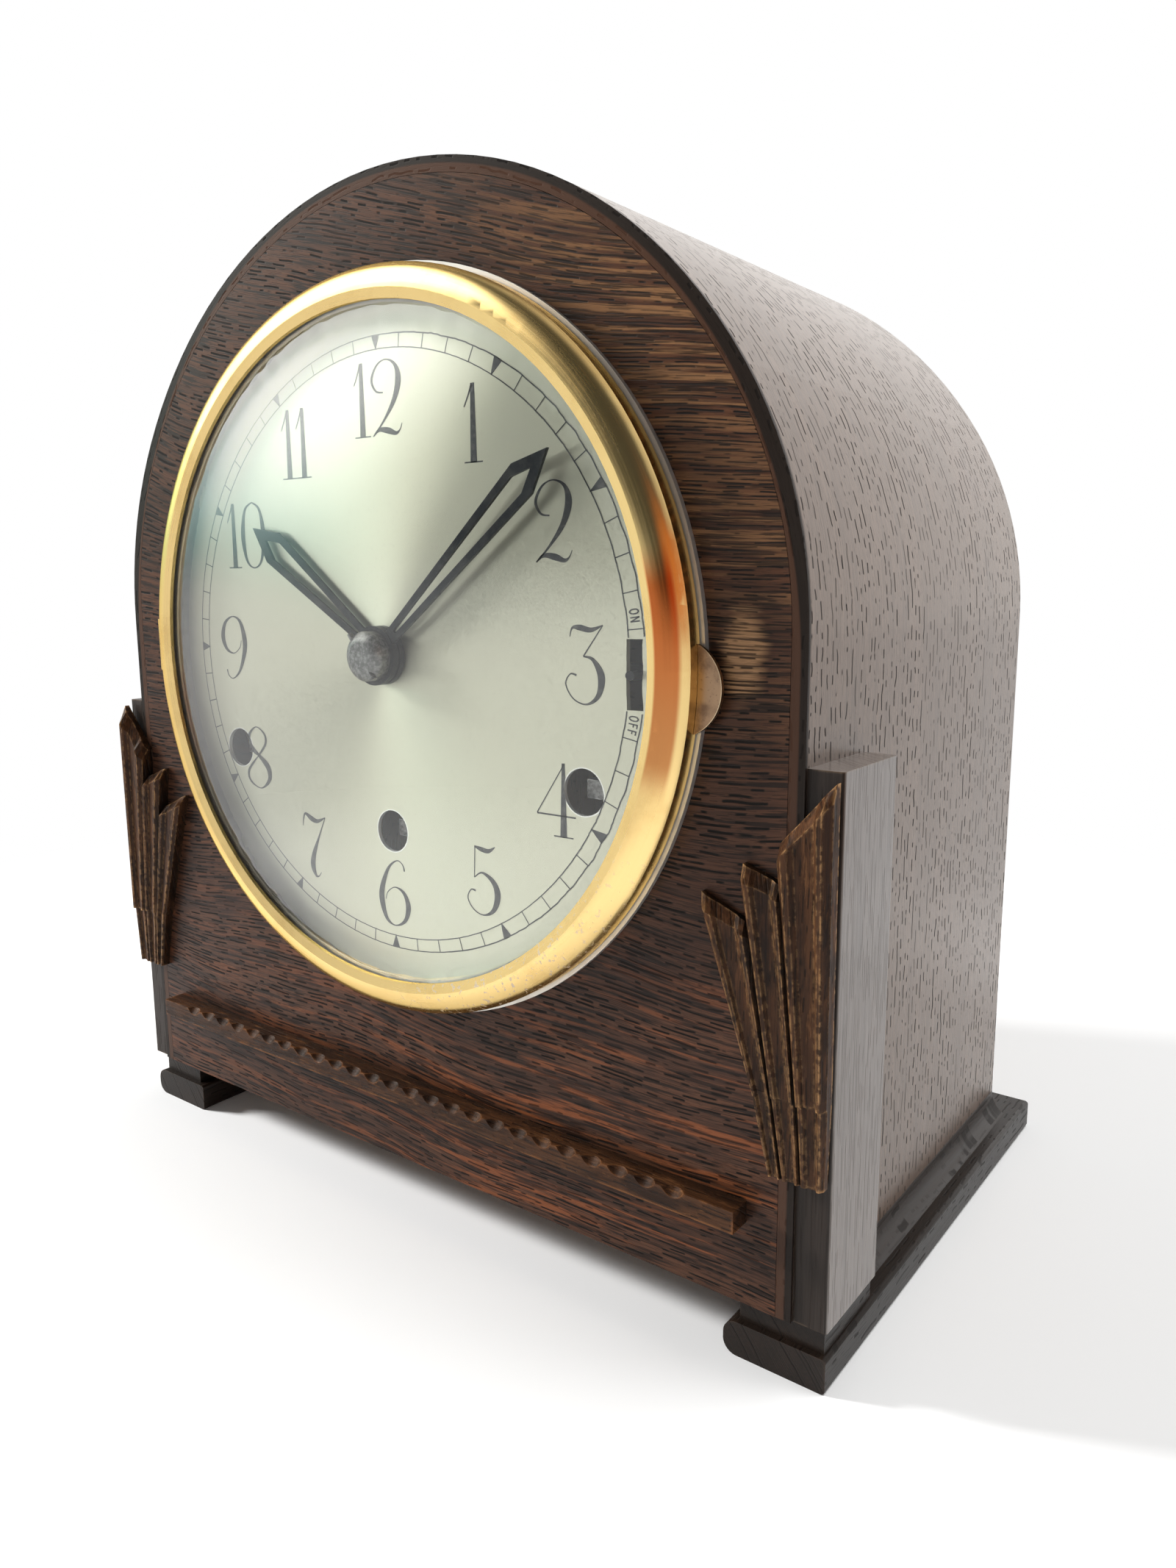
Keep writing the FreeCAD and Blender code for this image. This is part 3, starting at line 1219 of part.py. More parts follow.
def lever_solid():
    length, thickness = lever_length.value, clock.lever_thickness.value
    start, end_radius = stud_end.value + 2 * shake, 1.6 * clock.lever_pin_radius.value
    root_half = clock.lever_root_half_width.value
    outline = [(0, -root_half), (length, -end_radius), (length, end_radius), (0, root_half)]
    arm = prism(outline, start, thickness)
    eye = bar(clock.lever_eye_radius.value, start, thickness)
    end_disc = bar(end_radius, start, thickness, length)
    pin_front = -(clock.dial_thickness + clock.lever_pin_front).value
    lever_pin = bar(clock.lever_pin_radius.value, pin_front, start - pin_front, length)
    return arm.fuse([eye, end_disc, lever_pin]).cut(bar(stem + fit, start, thickness))


arbor_at(lever_solid(), lever_pivot, "chime_silent_lever")

# Pendulum on its suspension spring. Heights are above the anchor's arbor.
swing_depth = clock.pendulum_depth.value
spring_half, spring_wide = clock.spring_thickness.value / 2, clock.spring_width.value / 2
spring_depths = (swing_depth - spring_wide, swing_depth + spring_wide)
spring_top = clock.spring_rise.value
spring_low = spring_top - clock.spring_length.value
hook_low = spring_low - clock.hook_height.value
rod_radius = clock.rod_radius.value


def cock_solid():
    """Cast cock screwed to the back plate, slit for the spring."""
    start, wall = plates_back.value, clock.cock_wall.value
    heights = (clock.cock_low.value, clock.cock_high.value)
    foot_half, half = clock.cock_foot_half_width.value, clock.cock_half_width.value
    foot = slab((-foot_half, foot_half), (start, start + wall), heights)
    arm = slab((-half, half), (start, spring_depths[1] + wall), heights)
    slit, room = clock.cock_slot.value / 2, clock.slot_room.value
    cut = slab((-slit, slit), (spring_depths[0] - room, spring_depths[1] + wall),
               (heights[0], spring_top + room))
    return foot.fuse(arm).cut(cut)


def upright(radius, low, high):
    """Round bar along the pendulum's line."""
    return Part.makeCylinder(radius, high - low, FreeCAD.Vector(0, swing_depth, low))


arbor_at(cock_solid(), anchor, "suspension_cock")
spring = slab((-spring_half, spring_half), spring_depths, (spring_low, spring_top))
arbor_at(spring, anchor, "suspension_spring")
bob_axis, bob_edge = -(clock.bob_drop + anchor[1]).value, clock.bob_radius.value
nut_top = bob_axis - bob_edge - shake
nut_low = nut_top - clock.rating_nut_height.value
rod = upright(rod_radius, nut_low - clock.rod_tail.value / 2, hook_low)
hook_half = clock.hook_height.value * 0.4
hook = slab((-hook_half, hook_half), spring_depths, (hook_low, spring_low))
arbor_at(rod.fuse(hook), anchor, "pendulum_rod")


def bob_solid():
    """Lens-shaped brass bob, bored for the rod."""
    half_thick = clock.bob_thickness.value / 2
    face = (bob_edge ** 2 + half_thick ** 2) / (2 * half_thick)
    lens = Part.makeSphere(face, FreeCAD.Vector(0, swing_depth + face - half_thick, bob_axis))
    lens = lens.common(Part.makeSphere(face, FreeCAD.Vector(0, swing_depth - face + half_thick, bob_axis)))
    return lens.cut(upright(rod_radius + fit, bob_axis - 2 * bob_edge, bob_axis + 2 * bob_edge))


arbor_at(bob_solid(), anchor, "pendulum_bob")
rating = upright(clock.rating_nut_radius.value, nut_low, nut_top)
arbor_at(rating.cut(upright(rod_radius + fit, nut_low, nut_top)), anchor, "rating_nut")

# Gong block on the floor of the case, rod gongs, and the hammers on their arbor
gong_count = int(round(clock.gong_count.value))
last_gong = (frame_front - clock.gong_back_room).value
gong_depths = [last_gong - clock.gong_pitch.value * (gong_count - 1 - index) for index in range(gong_count)]
block_depths = (gong_depths[0] - clock.block_margin.value, last_gong + clock.block_margin.value)
block_left, block_right = clock.block_inner.value, (clock.block_inner + clock.block_width).value
block_floor, block_top = floor_top.value, (floor_top + clock.block_rise).value
block = slab((block_left, block_right), block_depths, (block_floor, block_top))
formed("gong_block", block.cut(slab((block_left, block_left + clock.block_step.value), block_depths,
                                    (block_top - clock.block_step_height.value, block_top))))
gong_solids = []
for index, depth in enumerate(gong_depths):
    length = clock.gong_length.value - clock.gong_step.value * index
    gong_solids.append(Part.makeCylinder(clock.gong_radius.value, length,
                                         FreeCAD.Vector(block_left - length, depth, clock.gong_height.value),
                                         FreeCAD.Vector(1, 0, 0)))
formed("gong_rods", Part.makeCompound(gong_solids))

hammer_x, hammer_z = -clock.hammer_pivot_reach.value, clock.hammer_pivot_height.value
hub_half, hammer_arbor = clock.hammer_hub_half.value, clock.hammer_arbor_radius.value
arbor_end = last_gong + hub_half + clock.arbor_tail.value


def hammer_bracket_solid():
    """Plate below the movement's back plate, with the hammer arbor and the collars between the hammers."""
    start, back = plates_back.value, (plates_back + clock.bracket_thickness).value
    half = clock.bracket_half_width.value
    top = (clock.dial_height - clock.plate_drop + clock.bracket_overlap).value - hammer_z
    foot = slab((-half, half), (start, back), (-clock.bracket_drop.value, top))
    edges = [back]
    for depth in gong_depths:
        edges += [depth - hub_half - shake, depth + hub_half + shake]
    edges.append(arbor_end)
    collar_radius = hammer_arbor + clock.collar_step.value
    collars = [bar(collar_radius, low, high - low) for low, high in zip(edges[::2], edges[1::2])]
    return foot.fuse([bar(hammer_arbor, start, arbor_end - start)] + collars).removeSplitter()


def hammer_solid(depth):
    """Hub, flat arm and a plain steel head that hangs above its rod."""
    reach, head_length = clock.hammer_reach.value, clock.hammer_head_length.value
    low = (clock.gong_height + clock.gong_radius + clock.hammer_rest_gap).value - hammer_z
    middle, half = low + 0.75 * head_length, clock.hammer_arm_half_width.value
    flat = clock.hammer_arm_thickness.value
    hub = bar(clock.hammer_hub_radius.value, depth - hub_half, 2 * hub_half)
    arm = prism([(-0.75 * half, -1.25 * half), (reach, middle - half), (reach, middle + half),
                 (0.75 * half, 1.5 * half)], depth - flat / 2, flat)
    head = Part.makeCylinder(clock.hammer_head_radius.value, head_length, FreeCAD.Vector(reach, depth, low))
    bore = bar(hammer_arbor + fit, depth - hub_half, 2 * hub_half)
    return hub.fuse([arm, head]).cut(bore).removeSplitter()


formed("hammer_bracket", hammer_bracket_solid(), hammer_x, hammer_z)
for index, depth in enumerate(gong_depths, 1):
    formed(f"hammer_{index}", hammer_solid(depth), hammer_x, hammer_z)

# Every object has to be sound before anything is written
doc.recompute()
failed = [piece.Name for piece in doc.Objects if "Invalid" in piece.State or "Error" in piece.State]
failed += [piece.Label for piece in sub_parts if piece.Shape.isNull() or not piece.Shape.isValid()]
if failed:
    raise RuntimeError("pieces that did not build: " + ", ".join(failed))
os.makedirs("parts", exist_ok=True)
for piece in sub_parts:
    piece.Shape.exportStep(f"parts/{piece.Label}.step")
print(len(sub_parts), "sub-parts written")
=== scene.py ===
import math

import bmesh
import bpy
from mathutils import Matrix, Vector


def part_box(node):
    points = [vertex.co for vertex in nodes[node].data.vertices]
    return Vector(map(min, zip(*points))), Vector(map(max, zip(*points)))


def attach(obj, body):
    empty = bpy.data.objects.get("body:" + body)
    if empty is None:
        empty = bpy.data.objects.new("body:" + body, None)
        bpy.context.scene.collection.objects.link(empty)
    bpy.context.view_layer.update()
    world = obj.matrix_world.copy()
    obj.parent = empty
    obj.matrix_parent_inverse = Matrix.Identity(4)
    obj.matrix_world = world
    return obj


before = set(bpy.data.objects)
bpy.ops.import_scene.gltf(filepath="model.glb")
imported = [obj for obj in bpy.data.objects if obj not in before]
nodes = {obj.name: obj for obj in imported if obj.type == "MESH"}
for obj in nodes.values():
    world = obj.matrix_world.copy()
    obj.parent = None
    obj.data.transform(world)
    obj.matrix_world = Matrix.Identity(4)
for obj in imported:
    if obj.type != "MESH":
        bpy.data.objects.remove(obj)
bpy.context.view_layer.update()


# Case shell: one sheet of oak-faced ply bent over the arch from foot to foot and glued to the
# front board. The stained veneer runs round the bend, so its open pores read as short dashes
# that climb both sides and meet over the crown, and the front rim is rubbed almost black.

def feed(tree, node, inputs):
    for name, value in dict(inputs).items():
        if isinstance(value, bpy.types.NodeSocket):
            tree.links.new(value, node.inputs[name])
        else:
            node.inputs[name].default_value = value
    return node


def add(tree, kind, inputs=(), **settings):
    made = tree.nodes.new("ShaderNode" + kind)
    for name, value in settings.items():
        setattr(made, name, value)
    return feed(tree, made, inputs)


def work_out(tree, operation, *values):
    return add(tree, "Math", enumerate(values), operation=operation).outputs[0]


def times(tree, first, *others):
    product = first
    for value in others:
        product = work_out(tree, "MULTIPLY", product, value)
    return product


def measure(tree, operation, *vectors):
    return add(tree, "VectorMath", enumerate(vectors), operation=operation).outputs["Value"]


def fade(tree, value, low, high, at_low=0.0, at_high=1.0):
    ends = {"Value": value, "From Min": low, "From Max": high, "To Min": at_low, "To Max": at_high}
    return add(tree, "MapRange", ends, interpolation_type="SMOOTHSTEP").outputs[0]


def blend_colours(tree, factor, first, second):
    return add(tree, "Mix", {0: factor, 6: first, 7: second}, data_type="RGBA").outputs[2]


def on_piece(tree):
    return add(tree, "TexCoord").outputs["Object"]


def parts(tree, vector):
    return add(tree, "SeparateXYZ", {0: vector}).outputs


def joined(tree, *numbers):
    return add(tree, "CombineXYZ", enumerate(numbers)).outputs[0]


def noise(tree, vector, scale, detail, roughness=0.5, distortion=0.0, dimensions="3D"):
    inputs = {"Vector": vector, "Scale": scale, "Detail": detail, "Roughness": roughness,
              "Distortion": distortion}
    return add(tree, "TexNoise", inputs, noise_dimensions=dimensions).outputs["Fac"]


def stretched_noise(tree, vector, stretch, detail=3.0, roughness=0.55, distortion=0.0):
    laid = add(tree, "VectorMath", {0: vector, 1: stretch}, operation="MULTIPLY").outputs[0]
    return noise(tree, laid, 1.0, detail, roughness, distortion)


def shader_group(name, takes, gives):
    tree = bpy.data.node_groups.new(name, "ShaderNodeTree")
    kinds = {1: "NodeSocketFloat", 3: "NodeSocketVector", 4: "NodeSocketColor"}
    for label, value in takes.items():
        kind = kinds[len(value) if isinstance(value, tuple) else 1]
        tree.interface.new_socket(label, in_out="INPUT", socket_type=kind).default_value = value
    for label in gives:
        kind = "NodeSocketColor" if label == "Color" else "NodeSocketFloat"
        tree.interface.new_socket(label, in_out="OUTPUT", socket_type=kind)
    return tree, tree.nodes.new("NodeGroupInput").outputs, tree.nodes.new("NodeGroupOutput")


def use_group(tree, group, inputs):
    return add(tree, "Group", inputs, node_tree=group).outputs


# Grain of open-pored wood: the pores are dashes in rows, a coarse set of rows and a fine one, and
# the fibres and growth bands between them take the stain unevenly.
open_grain, takes, result = shader_group(
    "open_grain",
    {"Vector": (0, 0, 0), "Light": (0.2, 0.1, 0.05, 1), "Dark": (0.05, 0.02, 0.01, 1),
     "Pore": (0.01, 0.006, 0.004, 1), "Pore Length": 0.005, "Pore Gap": 0.0018, "Pore Size": 0.15,
     "Pore Amount": 0.8, "Figure": 0.5},
    ("Color", "Roughness", "Height", "Pores", "Lacquer"))
tree = open_grain
run, across, deep = parts(tree, takes["Vector"])
wander = stretched_noise(tree, takes["Vector"], (26, 90, 90), detail=2.0)
bands = stretched_noise(tree, takes["Vector"], (7, 110, 110), detail=4.0, distortion=0.6)
fibres = stretched_noise(tree, takes["Vector"], (45, 1700, 1700), detail=3.0)
leaning = work_out(tree, "MULTIPLY_ADD", deep, 0.73, across)
leaning = work_out(tree, "MULTIPLY_ADD", wander, 0.002, leaning)
noise_step = 13.7
pores = 0.0
for length_share, gap_share, strength in ((1.0, 1.0, 1.0), (0.7, 0.36, 0.3)):
    rows = work_out(tree, "DIVIDE", leaning, times(tree, takes["Pore Gap"], gap_share))
    row = times(tree, work_out(tree, "FLOOR", rows), noise_step)
    along = work_out(tree, "DIVIDE", run, times(tree, takes["Pore Length"], length_share))
    cuts = noise(tree, joined(tree, along, row), 1.0, 1.0, dimensions="2D")
    slip = noise(tree, joined(tree, times(tree, along, 0.4), row), 1.0, 2.0, dimensions="2D")
    off = work_out(tree, "SUBTRACT", work_out(tree, "FRACT", rows),
                   fade(tree, slip, 0.25, 0.75, 0.34, 0.66))
    thin = work_out(tree, "DIVIDE", work_out(tree, "ABSOLUTE", off), takes["Pore Size"])
    dashes = times(tree, fade(tree, thin, 0.5, 1.0, 1.0, 0.0),
                   fade(tree, cuts, 0.49, 0.56, 0.0, strength))
    pores = work_out(tree, "MAXIMUM", pores, dashes)
pores = times(tree, pores, fade(tree, bands, 0.3, 0.6, 0.5, 1.0))
shown_pores = times(tree, pores, takes["Pore Amount"])
tone = add(tree, "Mix", {0: takes["Figure"], 2: fade(tree, fibres, 0.33, 0.67),
                         3: fade(tree, bands, 0.32, 0.68)}).outputs[0]
stained = blend_colours(tree, tone, takes["Dark"], takes["Light"])
dull_fibres = work_out(tree, "MULTIPLY_ADD", fibres, 0.16, 0.28)
feed(tree, result, {
    "Color": blend_colours(tree, shown_pores, stained, takes["Pore"]),
    "Roughness": work_out(tree, "MULTIPLY_ADD", pores, 0.25, dull_fibres),
    "Height": work_out(tree, "SUBTRACT", times(tree, fibres, 0.4), pores),
    "Pores": pores,
    "Lacquer": work_out(tree, "SUBTRACT", 1.0, shown_pores)})

# Edges that dusting and handling have rubbed: open corners only, and in patches. On the tab and the
# nut the same mask also lays a painted highlight along the edges.
rubbed_and_highlit_edges, takes, result = shader_group(
    "rubbed_and_highlit_edges", {"Width": 0.001, "Patch Size": 0.008, "Amount": 1.0}, ("Mask",))
tree = rubbed_and_highlit_edges
rounded = add(tree, "Bevel", {"Radius": takes["Width"]}, samples=6).outputs[0]
turned = measure(tree, "DOT_PRODUCT", rounded, add(tree, "NewGeometry").outputs["Normal"])
open_corner = add(tree, "AmbientOcclusion", {"Distance": 0.004}, samples=6).outputs["AO"]
patches = noise(tree, on_piece(tree), work_out(tree, "DIVIDE", 1.0, takes["Patch Size"]), 4.0)
feed(tree, result, {"Mask": times(
    tree, fade(tree, turned, 0.8, 0.985, 1.0, 0.0), fade(tree, open_corner, 0.6, 0.9),
    fade(tree, patches, 0.42, 0.58, 0.08, 1.0), takes["Amount"])})


def new_finish(name, **constants):
    made = bpy.data.materials.new(name)
    made.use_nodes = True
    shader = made.node_tree.nodes["Principled BSDF"]
    for label, value in constants.items():
        shader.inputs[label.replace("_", " ")].default_value = value
    return made, made.node_tree, shader


def bump(tree, shader, height, depth, strength=0.6):
    raised = add(tree, "Bump", {"Height": height, "Distance": depth, "Strength": strength})
    feed(tree, shader, {"Normal": raised.outputs[0]})


def dress(material, *names):
    for name in names:
        for place in nodes[name].material_slots:
            place.material = material


shell_low, shell_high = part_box("case_wrap")
shell_radius = shell_high[0]
springing = shell_high[2] - shell_radius
rim_front, rim_back = shell_low[1] + 0.0003, shell_low[1] + 0.0016
line_inside, line_outside = shell_radius - 0.0019, shell_radius - 0.0013
shell_oak, tree, shader = new_finish(
    "shell_oak", Specular_IOR_Level=0.08, Coat_Roughness=0.24, Coat_Tint=(1.0, 0.95, 0.9, 1))
x, y, z = parts(tree, on_piece(tree))
above = work_out(tree, "SUBTRACT", z, springing)
bend_turn = work_out(tree, "ARCTAN2", above, x)
bend_run = work_out(tree, "MULTIPLY_ADD", bend_turn, shell_radius, springing)
past_crown = work_out(tree, "MULTIPLY_ADD", above, -2.0, math.pi * shell_radius)
side_run = work_out(tree, "MULTIPLY_ADD", work_out(tree, "LESS_THAN", x, 0.0), past_crown, z)
on_bend = work_out(tree, "GREATER_THAN", above, 0.0)
run = add(tree, "Mix", {0: on_bend, 2: side_run, 3: bend_run}).outputs[0]
from_middle = measure(tree, "LENGTH", joined(tree, x, work_out(tree, "MAXIMUM", above, 0.0)))
laid = joined(tree, run, work_out(tree, "ADD", y, from_middle), times(tree, above, 0.02))
grain = use_group(tree, open_grain, {
    "Vector": laid, "Light": (0.165, 0.114, 0.085, 1), "Dark": (0.1, 0.067, 0.049, 1),
    "Pore": (0.009, 0.006, 0.0045, 1), "Pore Length": 0.0034, "Pore Gap": 0.0024,
    "Pore Size": 0.14, "Pore Amount": 1.0, "Figure": 0.4})
rim = fade(tree, y, rim_front, rim_back, 0.94, 0.0)
edge = blend_colours(tree, fade(tree, from_middle, line_inside, line_outside),
                     (0.05, 0.023, 0.0135, 1), (0.006, 0.0042, 0.0034, 1))
feed(tree, shader, {
    "Base Color": blend_colours(tree, rim, grain["Color"], edge),
    "Roughness": grain["Roughness"],
    "Coat Weight": times(tree, grain["Lacquer"], work_out(tree, "MULTIPLY_ADD", rim, -0.95, 1.0))})
bump(tree, shader, grain["Height"], 0.00009)
dress(shell_oak, "case_wrap")


# Front board: oak veneer on a flat board, grain across the clock, stained dark and lacquered.
# Rusty streaks show low down where the stain is thin, tan ones at the upper right, and a
# bare patch beside the tab where fingers have opened the bezel.
board_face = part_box("front_board")[0][1]
bare_middle_x, bare_middle_z = 0.1008, 0.1565
bare_half_width, bare_half_height = 0.0052, 0.0098
board_oak, tree, shader = new_finish("board_oak", Specular_IOR_Level=0.13, Coat_Roughness=0.25)
place = on_piece(tree)
x, y, z = parts(tree, place)
sway = noise(tree, place, 9.0, 1.0)
slope = times(tree, x, 0.28, fade(tree, z, 0.14, 0.25))
lifted = work_out(tree, "ADD", work_out(tree, "MULTIPLY_ADD", sway, 0.022, z), slope)
laid = joined(tree, x, lifted, y)
grain = use_group(tree, open_grain, {
    "Vector": laid, "Light": (0.085, 0.036, 0.019, 1), "Dark": (0.03, 0.0135, 0.0085, 1),
    "Pore": (0.004, 0.0028, 0.0022, 1), "Pore Length": 0.0065, "Pore Gap": 0.0011,
    "Pore Size": 0.27, "Pore Amount": 0.95, "Figure": 0.5})
streaks = stretched_noise(tree, laid, (14, 420, 0), detail=5.0, roughness=0.6, distortion=0.3)
patches = stretched_noise(tree, laid, (9, 22, 0), detail=2.0)
flecks = stretched_noise(tree, laid, (60, 1150, 0), detail=3.0)

rusty = times(tree, fade(tree, streaks, 0.49, 0.6), fade(tree, z, 0.03, 0.125, 0.85, 0.0),
              fade(tree, x, -0.08, 0.06, 0.35, 1.0))
veneer = blend_colours(tree, rusty, grain["Color"], (0.2, 0.06, 0.02, 1))
tanned = times(tree, fade(tree, streaks, 0.45, 0.58), fade(tree, x, 0.0, 0.09),
               fade(tree, z, 0.13, 0.2, 0.0, 0.8), fade(tree, patches, 0.38, 0.58, 0.25, 1.0))
veneer = blend_colours(tree, tanned, veneer, (0.23, 0.117, 0.053, 1))
from_bare = measure(tree, "LENGTH", joined(
    tree, work_out(tree, "DIVIDE", work_out(tree, "SUBTRACT", x, bare_middle_x), bare_half_width),
    work_out(tree, "DIVIDE", work_out(tree, "SUBTRACT", z, bare_middle_z), bare_half_height)))
ragged = work_out(tree, "MULTIPLY_ADD", streaks, 1.4, from_bare)
bare = times(tree, fade(tree, ragged, 1.2, 1.9, 0.85, 0.0),
             fade(tree, y, board_face + 0.001, board_face + 0.002, 1.0, 0.0))
veneer = blend_colours(tree, bare, veneer, (0.36, 0.2, 0.098, 1))
inked = work_out(tree, "MAXIMUM", fade(tree, flecks, 0.48, 0.6, 0.0, 0.8),
                 times(tree, grain["Pores"], 0.9))
feed(tree, shader, {
    "Base Color": blend_colours(tree, inked, veneer, (0.005, 0.0034, 0.0027, 1)),
    "Roughness": grain["Roughness"],
    "Coat Weight": times(tree, grain["Lacquer"], 0.08)})
bump(tree, shader, grain["Height"], 0.00012)
dress(board_oak, "front_board")


# Floor board and rear frame: plain unfinished hardwood inside the case, only toned by age.
# The frame is glued into the shell's rear edge and carries the door.

def lay_grain(tree, axes):
    spot = parts(tree, on_piece(tree))
    return joined(tree, *(spot[axis] for axis in axes))


inner_wood, tree, shader = new_finish("inner_wood")
grain = use_group(tree, open_grain, {
    "Vector": lay_grain(tree, "ZXY"), "Light": (0.21, 0.125, 0.07, 1),
    "Dark": (0.12, 0.066, 0.035, 1), "Pore": (0.06, 0.032, 0.017, 1), "Pore Length": 0.005,
    "Pore Gap": 0.0017, "Pore Size": 0.15, "Pore Amount": 0.5, "Figure": 0.55})
feed(tree, shader, {"Base Color": grain["Color"],
                    "Roughness": fade(tree, grain["Pores"], 0.0, 1.0, 0.55, 0.75)})
bump(tree, shader, grain["Height"], 0.00015)
dress(inner_wood, "bottom_board", "back_frame")


# Base rails: moulded hardwood runners under both sides of the case, ebonised and polished, with
# the corners rubbed back to brown by a lifetime of dusting.

def close_seams(name):
    nodes[name].modifiers.new("closed", "WELD").merge_threshold = 1e-6


def soften(width, *names):
    for name in names:
        close_seams(name)
        eased = nodes[name].modifiers.new("eased", "BEVEL")
        eased.width = width
        eased.segments = 2
        eased.limit_method = "ANGLE"
        eased.angle_limit = math.radians(40)
        eased.harden_normals = True


def worn_edges(tree, width, patch_size, amount):
    worn = {"Width": width, "Patch Size": patch_size, "Amount": amount}
    return use_group(tree, rubbed_and_highlit_edges, worn)["Mask"]


rail_black, tree, shader = new_finish("rail_black", Specular_IOR_Level=0.18, Coat_Weight=0.06,
                                      Coat_Roughness=0.2)
grain = use_group(tree, open_grain, {
    "Vector": lay_grain(tree, "YXZ"), "Light": (0.02, 0.0125, 0.009, 1),
    "Dark": (0.009, 0.0065, 0.005, 1), "Pore": (0.004, 0.003, 0.0025, 1), "Pore Length": 0.005,
    "Pore Gap": 0.0016, "Pore Size": 0.2, "Pore Amount": 0.7, "Figure": 0.5})
wear_and_highlight = worn_edges(tree, 0.0012, 0.007, 0.4)
feed(tree, shader, {
    "Base Color": blend_colours(tree, wear_and_highlight, grain["Color"], (0.06, 0.036, 0.022, 1)),
    "Roughness": grain["Roughness"]})
bump(tree, shader, grain["Height"], 0.00015)
soften(0.0007, "base_rail_left", "base_rail_right")
dress(rail_black, "base_rail_left", "base_rail_right")


# Pilasters: upright oak blocks with a stepped head, glued to the corners of the case, their grain
# running straight up. The wood is tinted grey as a painted sheen, and the faces turned to the front
# are painted near-black without lacquer.
upright_oak, tree, shader = new_finish("upright_oak", Specular_IOR_Level=0.15, Coat_Roughness=0.24)
grain = use_group(tree, open_grain, {
    "Vector": lay_grain(tree, "ZYX"), "Light": (0.19, 0.155, 0.135, 1),
    "Dark": (0.1, 0.079, 0.068, 1), "Pore": (0.04, 0.03, 0.025, 1), "Pore Length": 0.014,
    "Pore Gap": 0.0009, "Pore Size": 0.2, "Pore Amount": 0.5, "Figure": 0.25})
facing = parts(tree, add(tree, "NewGeometry").outputs["Normal"])
# Faces turned to the front are painted near-black; the other faces keep the grey tone that stands in
# for their sheen.
front_side = fade(tree, facing["Y"], -0.8, -0.4, 0.9, 0.0)
upright = blend_colours(tree, front_side, grain["Color"], (0.011, 0.0068, 0.0048, 1))
wear_and_highlight = worn_edges(tree, 0.001, 0.009, 0.5)
outer_gloss = work_out(tree, "MULTIPLY_ADD", front_side, -1.05, 1.0)
feed(tree, shader, {
    "Base Color": blend_colours(tree, wear_and_highlight, upright, (0.2, 0.135, 0.085, 1)),
    "Roughness": grain["Roughness"],
    "Coat Weight": times(tree, grain["Lacquer"], outer_gloss)})
bump(tree, shader, grain["Height"], 0.00012)
soften(0.0005, "pilaster_left", "pilaster_right")
dress(upright_oak, "pilaster_left", "pilaster_right")


# Fans and strip: carved beech glued on, stained to match the oak. The fan is a stack of fluted
# blades, the strip a bead with a row of gouged notches, and on both the stain has rubbed off the high
# edges. Their hollows carry painted shade, darkened almost black by how enclosed they are.
# Painted shade: a surface is darkened by how enclosed it is within the reach.
shade_in_hollows, takes, result = shader_group(
    "shade_in_hollows", {"Reach": 0.003, "Amount": 1.0}, ("Mask",))
tree = shade_in_hollows
open_sky = add(tree, "AmbientOcclusion", {"Distance": takes["Reach"]}, samples=8).outputs["AO"]
feed(tree, result, {
    "Mask": times(tree, fade(tree, open_sky, 0.35, 0.9, 1.0, 0.0), takes["Amount"])})


def carved_wood(name, axes, worn_colour, wear_amount, wear_patch):
    made, tree, shader = new_finish(name, Specular_IOR_Level=0.12, Coat_Weight=0.06,
                                    Coat_Roughness=0.18)
    laid = lay_grain(tree, axes)
    grain = use_group(tree, open_grain, {
        "Vector": laid, "Light": (0.08, 0.033, 0.0135, 1), "Dark": (0.021, 0.0085, 0.004, 1),
        "Pore": (0.006, 0.0035, 0.0024, 1), "Pore Length": 0.006, "Pore Gap": 0.0011,
        "Pore Size": 0.24, "Pore Amount": 0.7, "Figure": 0.55})
    scuffs = stretched_noise(tree, laid, (90, 700, 700), detail=6.0, roughness=0.72)
    stains = stretched_noise(tree, laid, (70, 260, 260), detail=4.0, roughness=0.65)
    # Painted shade: the hollows are darkened nearly black by how enclosed they are.
    hollow_shade = use_group(tree, shade_in_hollows, {"Reach": 0.005, "Amount": 0.95})["Mask"]
    wood = blend_colours(tree, fade(tree, scuffs, 0.57, 0.66, 0.0, 0.55), grain["Color"],
                         (0.17, 0.075, 0.03, 1))
    wood = blend_colours(tree, fade(tree, stains, 0.44, 0.62, 0.0, 0.75), wood,
                         (0.011, 0.0055, 0.0034, 1))
    wood = blend_colours(tree, hollow_shade, wood, (0.006, 0.004, 0.003, 1))
    wear_and_highlight = worn_edges(tree, 0.0014, wear_patch, wear_amount)
    feed(tree, shader, {"Base Color": blend_colours(tree, wear_and_highlight, wood, worn_colour),
                        "Roughness": fade(tree, scuffs, 0.3, 0.7, 0.32, 0.6)})
    bump(tree, shader, work_out(tree, "ADD", grain["Height"], scuffs), 0.00022)
    return made


fan_beech = carved_wood("fan_beech", "ZXY", (0.44, 0.24, 0.1, 1), 1.0, 0.0015)
strip_beech = carved_wood("strip_beech", "XZY", (0.23, 0.09, 0.03, 1), 0.75, 0.006)
dress(fan_beech, "fan_left", "fan_right")
dress(strip_beech, "front_moulding")


